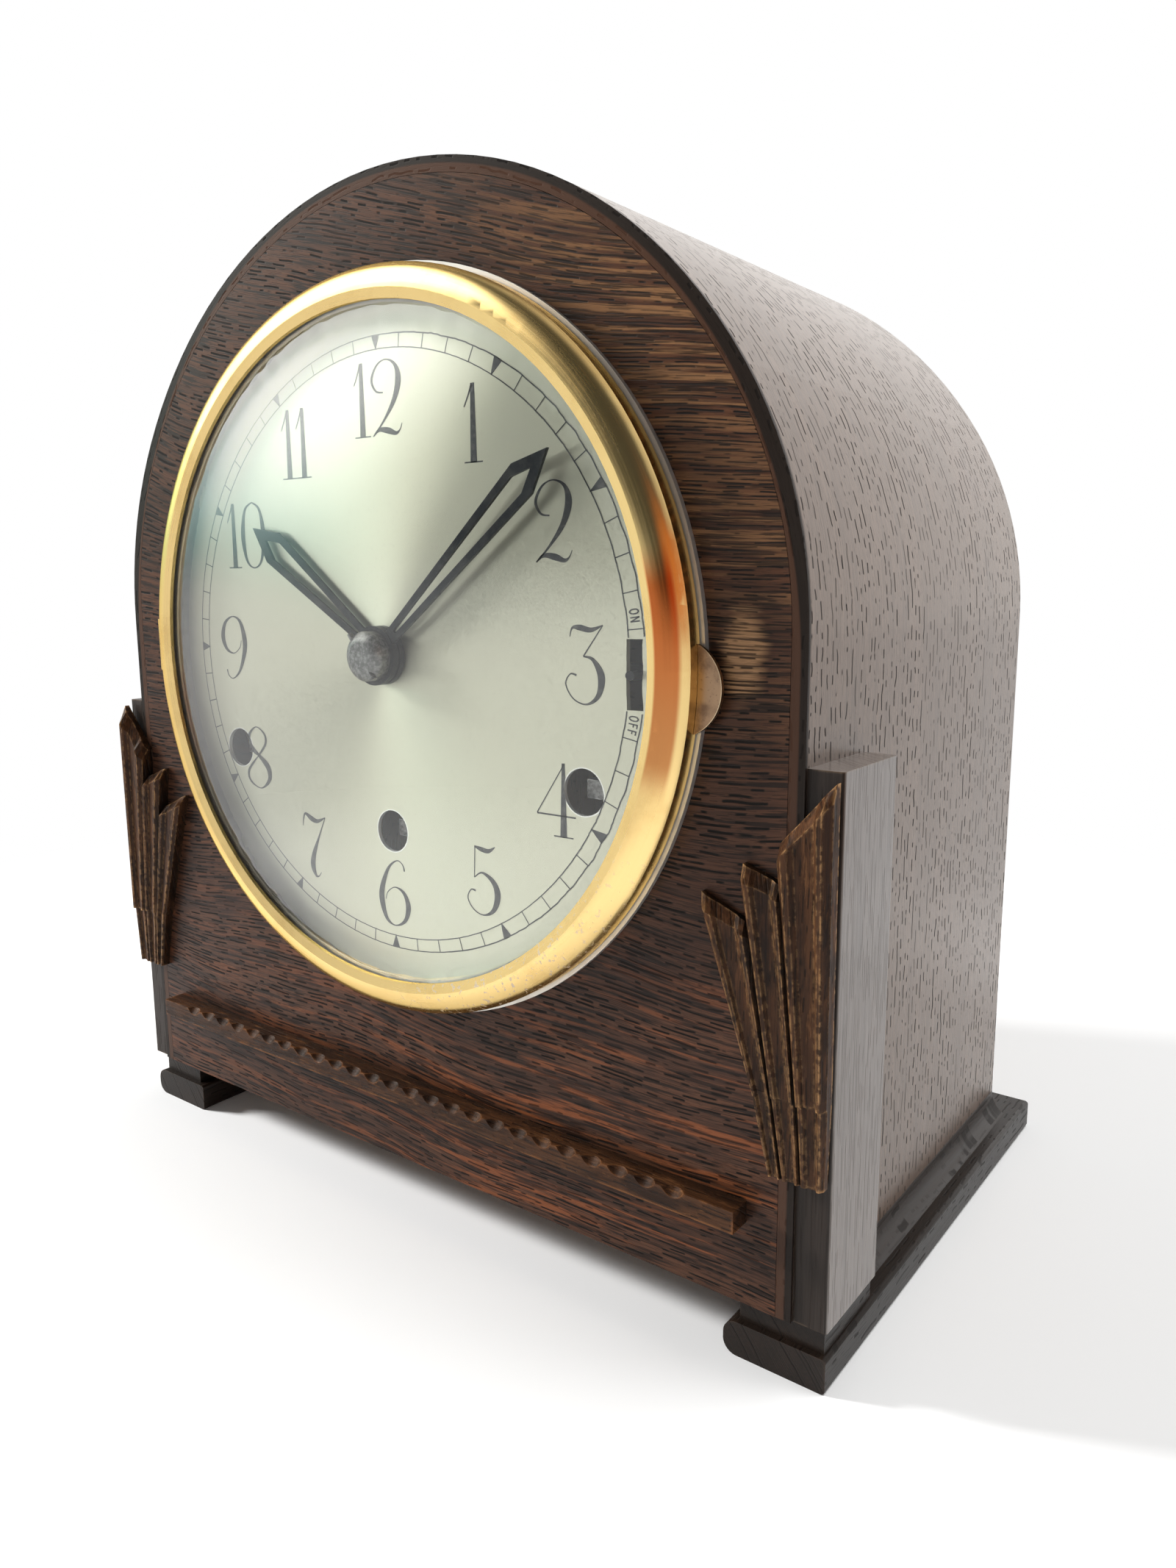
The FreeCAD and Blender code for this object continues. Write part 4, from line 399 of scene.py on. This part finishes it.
# Rear door: thin stained ply hung on two brass butts in the rear frame, with a turned knob.
# Its edges are rubbed pale.
door_ply, tree, shader = new_finish("door_ply", Coat_Weight=0.05, Coat_Roughness=0.35)
grain = use_group(tree, open_grain, {
    "Vector": lay_grain(tree, "ZXY"), "Light": (0.15, 0.078, 0.04, 1),
    "Dark": (0.065, 0.032, 0.017, 1), "Pore": (0.025, 0.013, 0.008, 1), "Pore Length": 0.006,
    "Pore Gap": 0.0018, "Pore Size": 0.18, "Pore Amount": 0.7, "Figure": 0.6})
wear_and_highlight = worn_edges(tree, 0.0012, 0.01, 0.6)
feed(tree, shader, {
    "Base Color": blend_colours(tree, wear_and_highlight, grain["Color"], (0.26, 0.16, 0.09, 1)),
    "Roughness": grain["Roughness"]})
bump(tree, shader, grain["Height"], 0.0002)
dress(door_ply, "back_door")


# Bezel: a ring spun from sheet brass and polished, hinged at the left, with a soldered tab at the
# right. Turning marks follow the ring, and pale corrosion spots sit low on the right. Beside the tab
# the crown carries a painted orange reflection in copper tones.
tarnish, takes, result = shader_group(
    "tarnish", {"Patch Size": 0.02, "Speck Size": 0.0016}, ("Film", "Specks"))
tree = tarnish
place = on_piece(tree)
film = noise(tree, place, work_out(tree, "DIVIDE", 1.0, takes["Patch Size"]), 5.0, 0.65)
specks = noise(tree, place, work_out(tree, "DIVIDE", 1.0, takes["Speck Size"]), 3.0)
feed(tree, result, {"Film": fade(tree, film, 0.45, 0.75), "Specks": fade(tree, specks, 0.58, 0.7)})


def aged_metal(tree, patch_size, speck_size):
    aged = use_group(tree, tarnish, {"Patch Size": patch_size, "Speck Size": speck_size})
    return aged["Film"], aged["Specks"]


dial_centre = (0.0, 0.1537)
marks_per_metre = 2600.0
bezel_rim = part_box("bezel")[1][0]
bezel_brass, tree, shader = new_finish("bezel_brass", Metallic=1.0,
                                       Specular_Tint=(1.0, 0.82, 0.5, 1))
x, y, z = parts(tree, on_piece(tree))
rise = work_out(tree, "SUBTRACT", z, dial_centre[1])
sweep = work_out(tree, "ARCTAN2", rise, x)
from_hub = measure(tree, "LENGTH", joined(tree, x, rise))
turning = noise(tree, joined(tree, times(tree, from_hub, marks_per_metre), times(tree, sweep, 1.6),
                             times(tree, y, marks_per_metre)), 1.0, 3.0)
film, specks = aged_metal(tree, 0.028, 0.0013)
brass = blend_colours(tree, times(tree, film, 0.6), (0.87, 0.63, 0.27, 1), (0.66, 0.42, 0.15, 1))
# Painted reflection: an orange band on the crown beside the tab, in copper tones.
beside_tab = fade(tree, work_out(tree, "ABSOLUTE", work_out(tree, "ADD", sweep, 0.01)),
                  0.2, 0.32, 0.92, 0.0)
reflected_orange_band = times(tree, beside_tab, fade(tree, from_hub, bezel_rim - 0.0069, bezel_rim - 0.006),
                   fade(tree, from_hub, bezel_rim - 0.0018, bezel_rim - 0.0009, 1.0, 0.0))
reflected_orange = blend_colours(tree, fade(tree, sweep, -0.25, 0.2), (0.5, 0.2, 0.065, 1),
                       (0.55, 0.11, 0.018, 1))
brass = blend_colours(tree, reflected_orange_band, brass, reflected_orange)
spotted = times(tree, specks, fade(tree, z, 0.072, 0.125, 1.0, 0.0), fade(tree, x, 0.0, 0.03))
polish = work_out(tree, "MULTIPLY_ADD", fade(tree, turning, 0.4, 0.7), 0.06,
                  work_out(tree, "MULTIPLY_ADD", film, 0.06, 0.21))
feed(tree, shader, {
    "Base Color": blend_colours(tree, spotted, brass, (0.62, 0.52, 0.42, 1)),
    "Roughness": work_out(tree, "MULTIPLY_ADD", spotted, 0.4, polish)})
bump(tree, shader, turning, 0.00001, 0.25)
dress(bezel_brass, "bezel", "bezel_hinge_flap", "bezel_hinge_leaf")

tab_brass, tree, shader = new_finish("tab_brass", Metallic=1.0)
film, specks = aged_metal(tree, 0.008, 0.0009)
thumbed = blend_colours(tree, film, (0.36, 0.235, 0.145, 1), (0.2, 0.13, 0.09, 1))
thumbed = blend_colours(tree, times(tree, specks, 0.5), thumbed, (0.14, 0.09, 0.065, 1))
# Painted highlight: the tab's edges are lightened to bright brass.
wear_and_highlight = worn_edges(tree, 0.0005, 0.02, 1.0)
feed(tree, shader, {"Base Color": blend_colours(tree, wear_and_highlight, thumbed, (0.88, 0.72, 0.47, 1)),
                    "Roughness": fade(tree, film, 0.0, 1.0, 0.34, 0.5)})
dress(tab_brass, "bezel_tab")


# Seat ring and glass retainer: thin plated steel rings, one flat on the board behind the bezel
# and one set in behind the glass.
plated_steel, tree, shader = new_finish("plated_steel", Metallic=0.75)
film, specks = aged_metal(tree, 0.012, 0.0012)
feed(tree, shader, {
    "Base Color": blend_colours(tree, film, (0.63, 0.61, 0.58, 1), (0.5, 0.475, 0.44, 1)),
    "Roughness": fade(tree, film, 0.0, 1.0, 0.4, 0.55)})
dress(plated_steel, "bezel_seat_ring", "glass_retainer")


# Glass: a slumped dome of clear clock glass with the faint smears of old polish. It lets the
# lamps through, so the hands and numbers under it are lit and throw shadows.
dome_glass, tree, shader = new_finish("dome_glass", Base_Color=(0.97, 0.985, 0.975, 1), IOR=1.46,
                                      Transmission_Weight=1.0)
smears = stretched_noise(tree, on_piece(tree), (60, 60, 110), detail=4.0)
feed(tree, shader, {"Roughness": fade(tree, smears, 0.45, 0.8, 0.0, 0.06)})
lamp_path = add(tree, "LightPath").outputs["Is Shadow Ray"]
clear = add(tree, "BsdfTransparent").outputs[0]
lit_through = add(tree, "MixShader", {0: lamp_path, 1: shader.outputs[0], 2: clear}).outputs[0]
feed(tree, tree.nodes["Material Output"], {"Surface": lit_through})
close_seams("bezel_glass")
nodes["bezel_glass"].modifiers.new("evened", "WEIGHTED_NORMAL")
dress(dome_glass, "bezel_glass")


# Dial: a brass plate silvered in a circular satin and lacquered, held to the movement by four feet.
# The lacquer has yellowed unevenly and carries fine specks. The winding holes have bare edges,
# painted near white, which also stands in for a highlight on their rims.
winding_holes = ((-0.0618, -0.0287), (0.0618, -0.0287), (0.0, -0.0456))
winding_hole_radius = 0.00545
bare_edge_start, bare_edge_end = winding_hole_radius + 0.0001, winding_hole_radius + 0.0004
dial_silver, tree, shader = new_finish("dial_silver", Metallic=0.8, Anisotropic=0.97,
                                       Anisotropic_Rotation=0.25)
place = on_piece(tree)
x, y, z = parts(tree, place)
clouds = noise(tree, place, 14.0, 3.0)
satin = noise(tree, place, 2200.0, 2.0)
film, specks = aged_metal(tree, 0.03, 0.0011)
silver = blend_colours(tree, clouds, (0.63, 0.62, 0.495, 1), (0.7, 0.69, 0.555, 1))
silver = blend_colours(tree, times(tree, specks, 0.12), silver, (0.42, 0.38, 0.3, 1))
# Bare metal at the winding holes' edges, painted near white: partly wear, partly a painted highlight
# on the rims.
for hole_x, hole_y in winding_holes:
    from_hole = measure(tree, "DISTANCE", joined(tree, x, z), (hole_x, dial_centre[1] + hole_y, 0.0))
    bare = fade(tree, from_hole, bare_edge_start, bare_edge_end, 0.9, 0.0)
    silver = blend_colours(tree, bare, silver, (0.92, 0.92, 0.88, 1))
feed(tree, shader, {
    "Base Color": silver,
    "Roughness": fade(tree, satin, 0.3, 0.7, 0.28, 0.38),
    "Tangent": add(tree, "Tangent", direction_type="RADIAL", axis="Y").outputs[0]})
bump(tree, shader, satin, 0.00001, 0.3)
dress(dial_silver, "dial_plate")


# Printing on the dial: hour numbers in a thick-and-thin hand with curled ends, a railway minute
# track with a solid pointer at each five minutes, and the two settings of the chime switch.
# It is transfer ink, so it lies on the plate and stops at the winding holes and the lever's slot.
# Each number or letter has its width and its strokes, and a stroke has points of across, up and
# thickness, all as shares of its height.
print_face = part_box("dial_plate")[0][1] - 0.00004
number_height = 0.0176
number_radius = 0.0622
six_width = 0.68
six = [[(0.56, 0.86, 0.03), (0.52, 0.96, 0.018), (0.4, 1.0, 0.018), (0.22, 0.86, 0.05),
        (0.08, 0.55, 0.1), (0.07, 0.33, 0.11), (0.16, 0.08, 0.06), (0.34, 0.0, 0.02),
        (0.54, 0.1, 0.06), (0.62, 0.32, 0.1), (0.54, 0.52, 0.06), (0.36, 0.59, 0.018),
        (0.2, 0.5, 0.016), (0.15, 0.38, 0.014)]]
digits = {
    "0": (0.62, [[(0.31, 1.0, 0.02), (0.13, 0.88, 0.05), (0.06, 0.5, 0.1), (0.13, 0.12, 0.05),
                  (0.31, 0.0, 0.02), (0.49, 0.12, 0.05), (0.56, 0.5, 0.1), (0.49, 0.88, 0.05),
                  (0.31, 1.0, 0.02)]]),
    "1": (0.33, [[(0.16, 1.0, 0.07), (0.16, 0.0, 0.11)],
                 [(0.145, 0.985, 0.03), (0.09, 0.86, 0.025), (0.01, 0.71, 0.018)],
                 [(0.0, 0.008, 0.018), (0.32, 0.008, 0.018)]]),
    "2": (0.62, [[(0.26, 0.57, 0.02), (0.12, 0.6, 0.03), (0.04, 0.75, 0.045), (0.14, 0.93, 0.03),
                  (0.32, 1.0, 0.018), (0.5, 0.92, 0.05), (0.56, 0.72, 0.11), (0.47, 0.46, 0.08),
                  (0.26, 0.2, 0.035), (0.04, 0.0, 0.018)],
                 [(0.04, 0.0, 0.014), (0.16, 0.08, 0.05), (0.34, 0.06, 0.085),
                  (0.49, 0.015, 0.05), (0.57, 0.06, 0.018), (0.61, 0.14, 0.01)]]),
    "3": (0.62, [[(0.09, 0.84, 0.012), (0.13, 0.95, 0.03), (0.25, 0.955, 0.075),
                  (0.42, 0.93, 0.06), (0.6, 0.99, 0.012)],
                 [(0.6, 0.99, 0.015), (0.3, 0.6, 0.02)],
                 [(0.3, 0.6, 0.018), (0.45, 0.56, 0.05), (0.575, 0.36, 0.11), (0.53, 0.12, 0.07),
                  (0.35, 0.0, 0.025), (0.14, 0.06, 0.018), (0.02, 0.24, 0.02),
                  (0.09, 0.37, 0.018), (0.19, 0.36, 0.03)]]),
    "4": (0.66, [[(0.48, 0.98, 0.014), (0.02, 0.29, 0.018)],
                 [(0.02, 0.285, 0.022), (0.66, 0.285, 0.022)],
                 [(0.46, 0.98, 0.05), (0.46, 0.0, 0.11)],
                 [(0.3, 0.008, 0.018), (0.62, 0.008, 0.018)]]),
    "5": (0.62, [[(0.16, 0.97, 0.02), (0.28, 0.94, 0.065), (0.42, 0.93, 0.06), (0.54, 1.0, 0.012)],
                 [(0.17, 0.98, 0.016), (0.15, 0.52, 0.016)],
                 [(0.15, 0.52, 0.015), (0.3, 0.605, 0.03), (0.5, 0.5, 0.08), (0.575, 0.32, 0.11),
                  (0.5, 0.1, 0.07), (0.32, 0.0, 0.022), (0.13, 0.05, 0.018), (0.02, 0.2, 0.02),
                  (0.08, 0.33, 0.018), (0.17, 0.33, 0.03)]]),
    "6": (six_width, six),
    "7": (0.58, [[(0.03, 0.8, 0.012), (0.05, 0.92, 0.025), (0.1, 1.0, 0.04), (0.24, 0.935, 0.085),
                  (0.38, 0.91, 0.06), (0.56, 0.985, 0.014)],
                 [(0.56, 0.985, 0.014), (0.4, 0.66, 0.035), (0.27, 0.38, 0.09), (0.23, 0.18, 0.11),
                  (0.29, 0.03, 0.05), (0.36, 0.02, 0.02), (0.42, 0.09, 0.012)]]),
    "8": (0.66, [[(0.34, 0.54, 0.05), (0.14, 0.68, 0.1), (0.12, 0.86, 0.06), (0.3, 1.0, 0.018),
                  (0.5, 0.9, 0.04), (0.52, 0.74, 0.05), (0.34, 0.54, 0.03)],
                 [(0.34, 0.54, 0.06), (0.56, 0.36, 0.11), (0.58, 0.16, 0.08), (0.36, 0.0, 0.018),
                  (0.1, 0.1, 0.04), (0.07, 0.28, 0.05), (0.34, 0.54, 0.02)]]),
    "9": (six_width, [[(six_width - across, 1.0 - up, thick) for across, up, thick in stroke]
                      for stroke in six]),
}
letters = {
    "O": (0.6, [[(0.3, 1.0, 0.16), (0.08, 0.75, 0.16), (0.08, 0.25, 0.16), (0.3, 0.0, 0.16),
                 (0.52, 0.25, 0.16), (0.52, 0.75, 0.16), (0.3, 1.0, 0.16)]]),
    "N": (0.6, [[(0.08, 0.0, 0.16), (0.08, 1.0, 0.16)], [(0.08, 0.95, 0.16), (0.52, 0.05, 0.16)],
                [(0.52, 0.0, 0.16), (0.52, 1.0, 0.16)]]),
    "F": (0.5, [[(0.08, 0.0, 0.16), (0.08, 1.0, 0.16)], [(0.08, 0.93, 0.14), (0.5, 0.93, 0.14)],
                [(0.08, 0.52, 0.14), (0.42, 0.52, 0.14)]]),
}


def flowing(points, steps):
    if len(points) == 2:
        return [tuple(a + (b - a) * i / steps for a, b in zip(*points)) for i in range(steps + 1)]
    ends = [points[0], *points, points[-1]]
    curve = []
    for four in zip(ends, ends[1:], ends[2:], ends[3:]):
        for t in (i / steps for i in range(steps)):
            curve.append(tuple(
                0.5 * (2 * b + (c - a) * t + (2 * a - 5 * b + 4 * c - d) * t * t
                       + (3 * b - a - 3 * c + d) * t ** 3) for a, b, c, d in zip(*four)))
    return curve + [points[-1]]


def brush(printing, points, lay, steps=10):
    curve = flowing(points, steps)
    rungs = []
    for i, (across, up, thick) in enumerate(curve):
        last, following = curve[max(i - 1, 0)], curve[min(i + 1, len(curve) - 1)]
        heading = math.atan2(following[1] - last[1], following[0] - last[0])
        half = thick / 2
        rungs.append([printing.verts.new(lay(across - half * side * math.sin(heading),
                                             up + half * side * math.cos(heading)))
                      for side in (-1, -0.3, 0.3, 1)])
    for here, following in zip(rungs, rungs[1:]):
        for k in range(3):
            printing.faces.new((here[k], here[k + 1], following[k + 1], following[k]))


def on_dial(across, up):
    return (dial_centre[0] + across, print_face, dial_centre[1] + up)


def on_round(radius, turn):
    return on_dial(radius * math.sin(turn), radius * math.cos(turn))


printing = bmesh.new()
for hour in range(1, 13):
    figures = [digits[figure] for figure in str(hour)]
    turn = math.radians(30 * hour)
    left = number_radius * math.sin(turn) - sum(width for width, _ in figures) * number_height / 2
    foot = number_radius * math.cos(turn) - number_height / 2
    for width, strokes in figures:
        for stroke in strokes:
            brush(printing, stroke, lambda across, up: on_dial(
                left + across * number_height, foot + up * number_height))
        left += width * number_height

track_outer, track_inner = 0.0769, 0.0737
track_line = 0.00026
slot_start, slot_end = 85.3, 97.5
pointer_width, pointer_tip, pointer_overrun = 0.0027, 0.00005, 0.0003
for radius in (track_outer, track_inner):
    brush(printing, [(math.radians(slot_end - 360), radius, track_line),
                     (math.radians(slot_start), radius, track_line)],
          lambda turn, out: on_round(out, turn), steps=360)
for minute in range(60):
    if slot_start < 6 * minute < slot_end:
        continue
    turn = math.radians(6 * minute)
    mark = [(0.0, track_inner, track_line), (0.0, track_outer, track_line)]
    if minute % 5 == 0:
        mark = [(0.0, track_outer, pointer_width), (0.0, track_inner - pointer_overrun, pointer_tip)]
    brush(printing, mark, lambda across, up: on_dial(
        across * math.cos(turn) + up * math.sin(turn), up * math.cos(turn) - across * math.sin(turn)))

label_height = 0.0019
label_radius = track_inner + 0.0007
letter_gap = 0.25
for word, middle in (("ON", 82.0), ("OFF", 99.8)):
    figures = [letters[letter] for letter in word]
    reach = -sum(width + letter_gap for width, _ in figures) * label_height / 2
    for width, strokes in figures:
        for stroke in strokes:
            brush(printing, stroke, lambda across, up: on_round(
                label_radius + up * label_height,
                math.radians(middle) + (reach + across * label_height) / track_inner))
        reach += (width + letter_gap) * label_height

for hole_x, hole_y in winding_holes:
    hole = Vector(on_dial(hole_x, hole_y))
    inside = {v for v in printing.verts if (v.co - hole).length < winding_hole_radius}
    lost = [f for f in printing.faces if all(v in inside for v in f.verts)]
    bmesh.ops.delete(printing, geom=lost, context="FACES")
    for vert in printing.verts:
        if (vert.co - hole).length < winding_hole_radius:
            vert.co = hole + (vert.co - hole).normalized() * winding_hole_radius
bmesh.ops.recalc_face_normals(printing, faces=printing.faces)
for face in printing.faces:
    if face.normal.y > 0:
        face.normal_flip()
dial_printing = bpy.data.objects.new("dial_printing", bpy.data.meshes.new("dial_printing"))
printing.to_mesh(dial_printing.data)
bpy.context.scene.collection.objects.link(dial_printing)

dial_ink, tree, shader = new_finish("dial_ink")
faded = noise(tree, on_piece(tree), 900.0, 4.0)
feed(tree, shader, {
    "Base Color": blend_colours(tree, fade(tree, faded, 0.4, 0.75), (0.035, 0.036, 0.038, 1),
                                (0.09, 0.09, 0.085, 1)),
    "Roughness": fade(tree, faded, 0.3, 0.7, 0.35, 0.55)})
dial_printing.data.materials.append(dial_ink)
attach(dial_printing, "case")


# Hands, nut and chime lever: pierced sheet steel, blued nearly black and dulled with age, on a collet
# held by a domed nut. The nut and the winding arbors are greyer and pitted, and their rubbed edges
# are lightened near white, partly wear and partly a painted highlight.
blued_steel, tree, shader = new_finish("blued_steel", Metallic=0.9)
bloom = noise(tree, on_piece(tree), 260.0, 5.0, 0.65)
steel = blend_colours(tree, fade(tree, bloom, 0.4, 0.75), (0.03, 0.031, 0.034, 1),
                      (0.085, 0.083, 0.082, 1))
wear_and_highlight = worn_edges(tree, 0.0003, 0.003, 0.5)
feed(tree, shader, {"Base Color": blend_colours(tree, wear_and_highlight, steel, (0.22, 0.215, 0.21, 1)),
                    "Roughness": fade(tree, bloom, 0.3, 0.7, 0.34, 0.6)})
dress(blued_steel, "hour_hand", "minute_hand", "chime_silent_lever", "suspension_spring")

nut_steel, tree, shader = new_finish("nut_steel", Metallic=0.85)
pitted = noise(tree, on_piece(tree), 900.0, 6.0, 0.7)
steel = blend_colours(tree, fade(tree, pitted, 0.4, 0.65), (0.13, 0.128, 0.124, 1),
                      (0.36, 0.352, 0.345, 1))
# Rubbed edges lightened near white: partly wear, partly a painted highlight.
wear_and_highlight = worn_edges(tree, 0.0007, 0.002, 0.9)
feed(tree, shader, {"Base Color": blend_colours(tree, wear_and_highlight, steel, (0.8, 0.79, 0.77, 1)),
                    "Roughness": fade(tree, pitted, 0.3, 0.7, 0.3, 0.5)})
bump(tree, shader, pitted, 0.00012)
dress(nut_steel, "hand_nut", "time_winding_arbor", "strike_winding_arbor", "chime_winding_arbor")


# Movement plates, cocks, pendulum bob and case brasses: rolled brass, grained with emery and
# left to dull. The plates are held apart by pillars.
plate_brass, tree, shader = new_finish("plate_brass", Metallic=1.0)
film, specks = aged_metal(tree, 0.018, 0.0015)
emery = stretched_noise(tree, on_piece(tree), (1800, 1800, 30), detail=2.0)
brass = blend_colours(tree, film, (0.72, 0.53, 0.25, 1), (0.46, 0.31, 0.13, 1))
feed(tree, shader, {
    "Base Color": blend_colours(tree, times(tree, specks, 0.35), brass, (0.2, 0.13, 0.06, 1)),
    "Roughness": fade(tree, emery, 0.3, 0.7, 0.26, 0.42)})
bump(tree, shader, emery, 0.00001, 0.3)
dress(plate_brass, "front_plate", "back_plate", "hammer_bracket", "suspension_cock",
      "pendulum_bob", "rating_nut", "door_hinge_leaves", "door_hinge_flaps", "door_knob")


# Wheels and barrels: cut from cast brass, turned in the lathe and lightly lacquered, so fine
# cutting marks show on their faces.
wheel_brass, tree, shader = new_finish("wheel_brass", Metallic=1.0)
film, specks = aged_metal(tree, 0.01, 0.001)
cutting = noise(tree, on_piece(tree), 3000.0, 2.0)
feed(tree, shader, {
    "Base Color": blend_colours(tree, film, (0.8, 0.6, 0.3, 1), (0.6, 0.42, 0.19, 1)),
    "Roughness": fade(tree, cutting, 0.3, 0.7, 0.2, 0.34)})
bump(tree, shader, cutting, 0.000008, 0.3)
dress(wheel_brass, "hour_wheel", "minute_wheel", "cannon_pinion", "centre_wheel",
      "intermediate_wheel", "third_wheel", "escape_wheel", "time_barrel", "strike_barrel",
      "chime_barrel")


# Anchor, clicks, posts, pendulum rod, gong rods and hammers: bright turned steel with a grey film
# and brown freckles.
bright_steel, tree, shader = new_finish("bright_steel", Metallic=1.0)
film, specks = aged_metal(tree, 0.012, 0.0014)
steel = blend_colours(tree, film, (0.55, 0.55, 0.56, 1), (0.38, 0.37, 0.36, 1))
feed(tree, shader, {
    "Base Color": blend_colours(tree, times(tree, specks, 0.4), steel, (0.2, 0.12, 0.07, 1)),
    "Roughness": fade(tree, film, 0.0, 1.0, 0.24, 0.42)})
clicks = [f"{train}_click" for train in ("time", "strike", "chime")]
hammers = [f"hammer_{number}" for number in range(1, 5)]
dress(bright_steel, "plate_pillars", "movement_posts", "anchor", "pendulum_rod", "gong_rods",
      *clicks, *hammers)


# Gong block: a grey iron casting, rough from the sand, with a dark paint wash. It stands on the
# floor of the case and carries the four rods.
gong_iron, tree, shader = new_finish("gong_iron", Metallic=0.4)
sand = noise(tree, on_piece(tree), 700.0, 5.0)
feed(tree, shader, {
    "Base Color": blend_colours(tree, sand, (0.05, 0.05, 0.052, 1), (0.12, 0.118, 0.115, 1)),
    "Roughness": fade(tree, sand, 0.3, 0.7, 0.5, 0.75)})
bump(tree, shader, sand, 0.0003)
dress(gong_iron, "gong_block")


# Studio: a pale floor, a soft light well round to the left that throws the shadows of the hands to
# the right, a weak fill in front, one overhead for the crown, a room for the polished pieces to
# mirror, and the camera where the photographer stood.
floor = bpy.data.objects.new("floor", bpy.data.meshes.new("floor"))
sheet = bmesh.new()
bmesh.ops.create_grid(sheet, x_segments=8, y_segments=8, size=6.0)
sheet.to_mesh(floor.data)
bpy.context.scene.collection.objects.link(floor)
shadow_reach, white_reach = 0.22, 0.5
floor_paper, tree, shader = new_finish("floor_paper", Base_Color=(0.93, 0.93, 0.925, 1),
                                       Roughness=0.9)
rays = add(tree, "LightPath").outputs
mirrored = work_out(tree, "MAXIMUM", rays["Is Glossy Ray"], rays["Is Transmission Ray"])
seen = work_out(tree, "MAXIMUM", rays["Is Camera Ray"], mirrored)
away = measure(tree, "LENGTH", on_piece(tree))
white = add(tree, "Emission", {"Color": (1, 1, 1, 1), "Strength": 1.0}).outputs[0]
white_share = times(tree, fade(tree, away, shadow_reach, white_reach), seen)
paper = add(tree, "MixShader", {0: white_share, 1: shader.outputs[0], 2: white}).outputs[0]
feed(tree, tree.nodes["Material Output"], {"Surface": paper})
floor.data.materials.append(floor_paper)


def soft_light(name, place, aim, width, watts):
    lamp = bpy.data.lights.new(name, "AREA")
    lamp.shape = "RECTANGLE"
    lamp.size = lamp.size_y = width
    lamp.energy = watts
    turned = (Vector(aim) - Vector(place)).to_track_quat("-Z", "Y").to_matrix().to_4x4()
    hung = bpy.data.objects.new(name, lamp)
    hung.matrix_world = Matrix.Translation(place) @ turned
    hung.visible_glossy = False
    hung.visible_transmission = False
    bpy.context.scene.collection.objects.link(hung)


soft_light("key", (-1.38, -0.61, 0.74), (0, -0.06, 0.15), 0.3, 46)
soft_light("fill", (0.5, -1.6, 0.7), (0, 0, 0.13), 1.2, 2)
soft_light("overhead", (0.5, 0.4, 1.4), (0, 0, 0.15), 1.0, 20)

world = bpy.data.worlds.new("studio")
bpy.context.scene.world = world
world.use_nodes = True
tree = world.node_tree
rays = add(tree, "LightPath").outputs
toward = add(tree, "TexCoord").outputs["Generated"]
height = parts(tree, toward)["Z"]


def lobe(direction, low, high):
    along = measure(tree, "DOT_PRODUCT", toward, Vector(direction).normalized())
    return fade(tree, along, low, high)


warm_patch = lobe((0.9, -0.42, -0.05), 0.72, 0.92)
table_top = fade(tree, height, 0.0, 0.14, 1.0, 0.0)
cool_patch = times(tree, lobe((-0.95, -0.3, 0.1), 0.84, 0.97), fade(tree, height, 0.0, 0.16))
window = lobe((-0.72, -0.34, 0.6), 0.84, 0.96)
back_wall = lobe((0.3, 0.85, 0.4), 0.2, 0.75)
room = (0.07, 0.075, 0.08, 1)
for area, colour in ((warm_patch, (0.62, 0.22, 0.07, 1)), (table_top, (0.95, 0.97, 0.97, 1)),
                     (cool_patch, (1.1, 1.75, 1.65, 1)), (window, (5.0, 5.0, 4.8, 1)),
                     (back_wall, (1.25, 1.23, 1.21, 1))):
    room = blend_colours(tree, area, room, colour)
mirrored = work_out(tree, "MAXIMUM", rays["Is Glossy Ray"], rays["Is Transmission Ray"])
lit = blend_colours(tree, mirrored, (0.17, 0.17, 0.17, 1), room)
feed(tree, tree.nodes["Background"], {
    "Color": blend_colours(tree, rays["Is Camera Ray"], lit, (1, 1, 1, 1))})

lens = bpy.data.cameras.new("photographer")
lens.sensor_fit = "VERTICAL"
lens.sensor_height = 36.0
lens.lens = 25.778
lens.shift_x = 0.0117
lens.shift_y = -0.0085
lens.clip_start = 0.01
stand, aim = Vector((0.2103, -0.26855, 0.1722)), Vector((0.00826, -0.005, 0.1156))
lean = math.radians(-0.47)
level = (aim - stand).to_track_quat("-Z", "Y").to_matrix().to_4x4()
camera = bpy.data.objects.new("photographer", lens)
camera.matrix_world = Matrix.Translation(stand) @ level @ Matrix.Rotation(lean, 4, "Z")
bpy.context.scene.collection.objects.link(camera)
bpy.context.scene.camera = camera
bpy.context.scene.view_settings.view_transform = "Standard"
